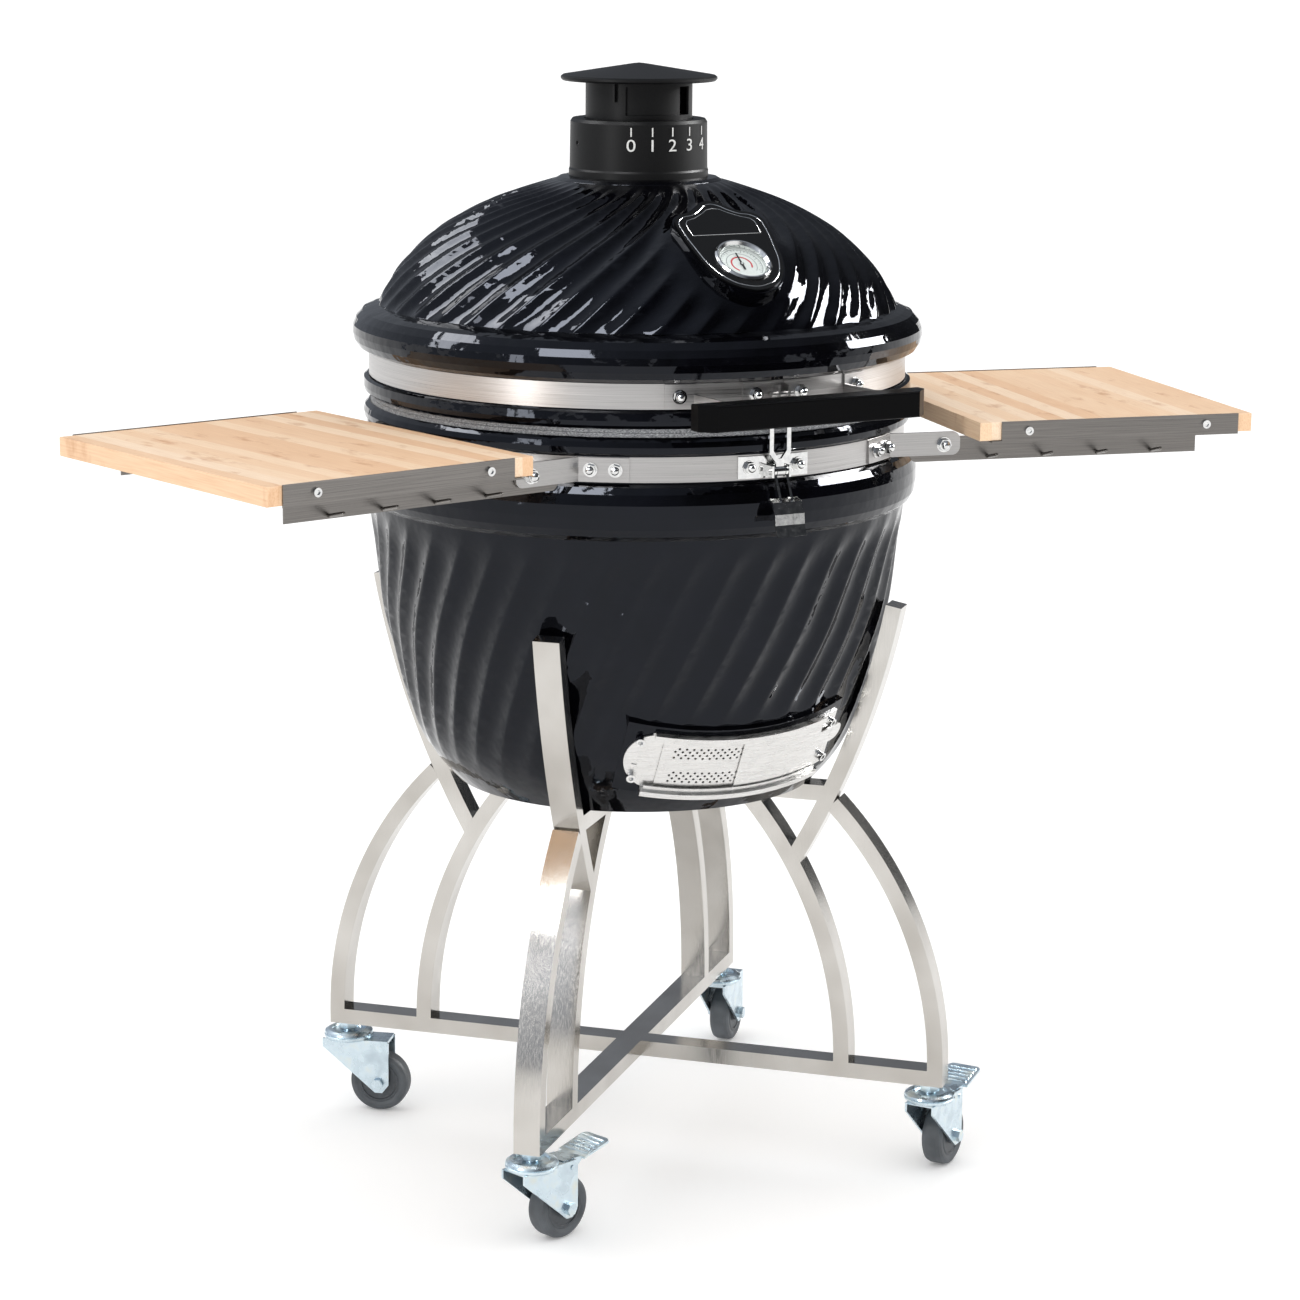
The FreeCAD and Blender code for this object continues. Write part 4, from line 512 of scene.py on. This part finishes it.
on_badge = badge_place @ Matrix.Translation((0.0, 0.0, badge_face))
on_dial = badge_place @ Matrix.Translation((0.0, 0.0, dial_print))

# The rim line follows the shield 1.2 mm inside its edge. Both outlines are in millimetres.
rim_inset = 1.2
shield_middle = 20.0


def inside(x, y):
    """A point of the shield's edge, drawn in towards its middle by the rim inset."""
    reach = max(math.hypot(x, (y - shield_middle) * 0.8), 1.0)
    keep = 1 - rim_inset / reach
    return x * keep, shield_middle + (y - shield_middle) * keep


half = [(0.0, 84.0), (8.0, 81.5), (16.0, 75.0), (26.0, 69.0), (38.0, 65.5), (44.5, 58.5),
        (45.5, 46.0), (43.0, 20.0), (37.0, -8.0), (24.0, -28.5), (12.0, -35.5), (0.0, -38.0)]
inset = [inside(x, y) for x, y in half]
outline = inset + [(-x, y) for x, y in reversed(inset[1:-1])]
rim_line = drawn_line("badge_rim_line", [outline], 1.1, 0.5, closed=True, smooth=True)
settle(rim_line, on_badge, bright, "lid")

panel_half = [(0.0, 38.5), (36.5, 38.5), (37.3, 47.0), (37.0, 55.5), (34.0, 60.0), (24.0, 63.6),
              (14.0, 69.4), (7.0, 74.6), (0.0, 76.4)]
panel = panel_half + [(-x, y) for x, y in reversed(panel_half[1:-1])]
panel_line = drawn_line("badge_panel_line", [panel], 0.7, 0.4, closed=True)
settle(panel_line, on_badge, bright, "lid")


def arc_path(radius, low, high, steps=48):
    """Points along an arc, with angles in degrees clockwise from the top."""
    turns = [math.radians(low + (high - low) * step / steps) for step in range(steps + 1)]
    return [(radius * math.sin(turn), radius * math.cos(turn)) for turn in turns]


# The scale turns 130 degrees each way from the top, with a tick every 10 and a long one every 50.
scale_end = 130.0
tick_pitch = 10.0
tick_outer = 20.6
tick_inner = 18.6
long_tick_inner = 16.8
ticks = []
for step in range(27):
    turn = math.radians(-scale_end + tick_pitch * step)
    inner = tick_inner if step % 5 else long_tick_inner
    ticks.append([(reach * math.sin(turn), reach * math.cos(turn)) for reach in (inner, tick_outer)])
rings = [arc_path(radius, -scale_end, scale_end) for radius in (20.8, 15.2)]
scale_lines = drawn_line("dial_scale_rings", rings + ticks, 0.45, 0.1)
settle(scale_lines, on_dial, ink, "lid")
comfort = drawn_line("dial_comfort_arc", [arc_path(10.2, -145.0, 120.0)], 1.7, 0.12)
settle(comfort, on_dial, red_ink, "lid")

# ---- Damper scale ----------------------------------------------------------------------------
# Five ticks and the numbers 0 to 4 are pad printed in white ink on the coated collar. The ink is a
# thin opaque film, a little glossier than the coat.
white_ink = film("white pad printing ink", 600.0, "#d9d9d6", "#ececea", 0.45)
collar_radius = 0.0683
scale_start = -33.7
scale_pitch = 17.6
tick_size = (0.0013, 0.0085, 0.0003)
tick_height = 1.0513
digit_size = 0.0166
digit_stretch = 1.2
digit_height = 1.0327


def collar_place(angle, height):
    """Local X runs round the collar, local Y up it and local Z out of it."""
    turn = math.radians(angle)
    out = Vector((math.sin(turn), -math.cos(turn), 0.0))
    side = Vector((math.cos(turn), math.sin(turn), 0.0))
    made = Matrix((side, Vector((0.0, 0.0, 1.0)), out)).transposed().to_4x4()
    made.translation = out * collar_radius + Vector((0.0, 0.0, height))
    return made


for number in range(5):
    angle = scale_start + scale_pitch * number
    bpy.ops.object.select_all(action="DESELECT")
    bpy.ops.mesh.primitive_cube_add(size=1.0)
    tick = bpy.context.object
    tick.name = "damper_tick_%d" % number
    tick.scale = tick_size
    bpy.ops.object.transform_apply(location=True, rotation=True, scale=True)
    settle(tick, collar_place(angle, tick_height), white_ink, "lid")
    bpy.ops.object.select_all(action="DESELECT")
    bpy.ops.object.text_add()
    digit = bpy.context.object
    digit.data.body = str(number)
    digit.data.size = digit_size
    digit.data.align_x = "CENTER"
    digit.data.extrude = 0.00015
    bpy.ops.object.convert(target="MESH")
    digit = bpy.context.object
    digit.name = "damper_digit_%d" % number
    digit.scale = (digit_stretch, 1.0, 1.0)
    bpy.ops.object.transform_apply(location=True, rotation=True, scale=True)
    settle(digit, collar_place(angle, digit_height), white_ink, "lid")
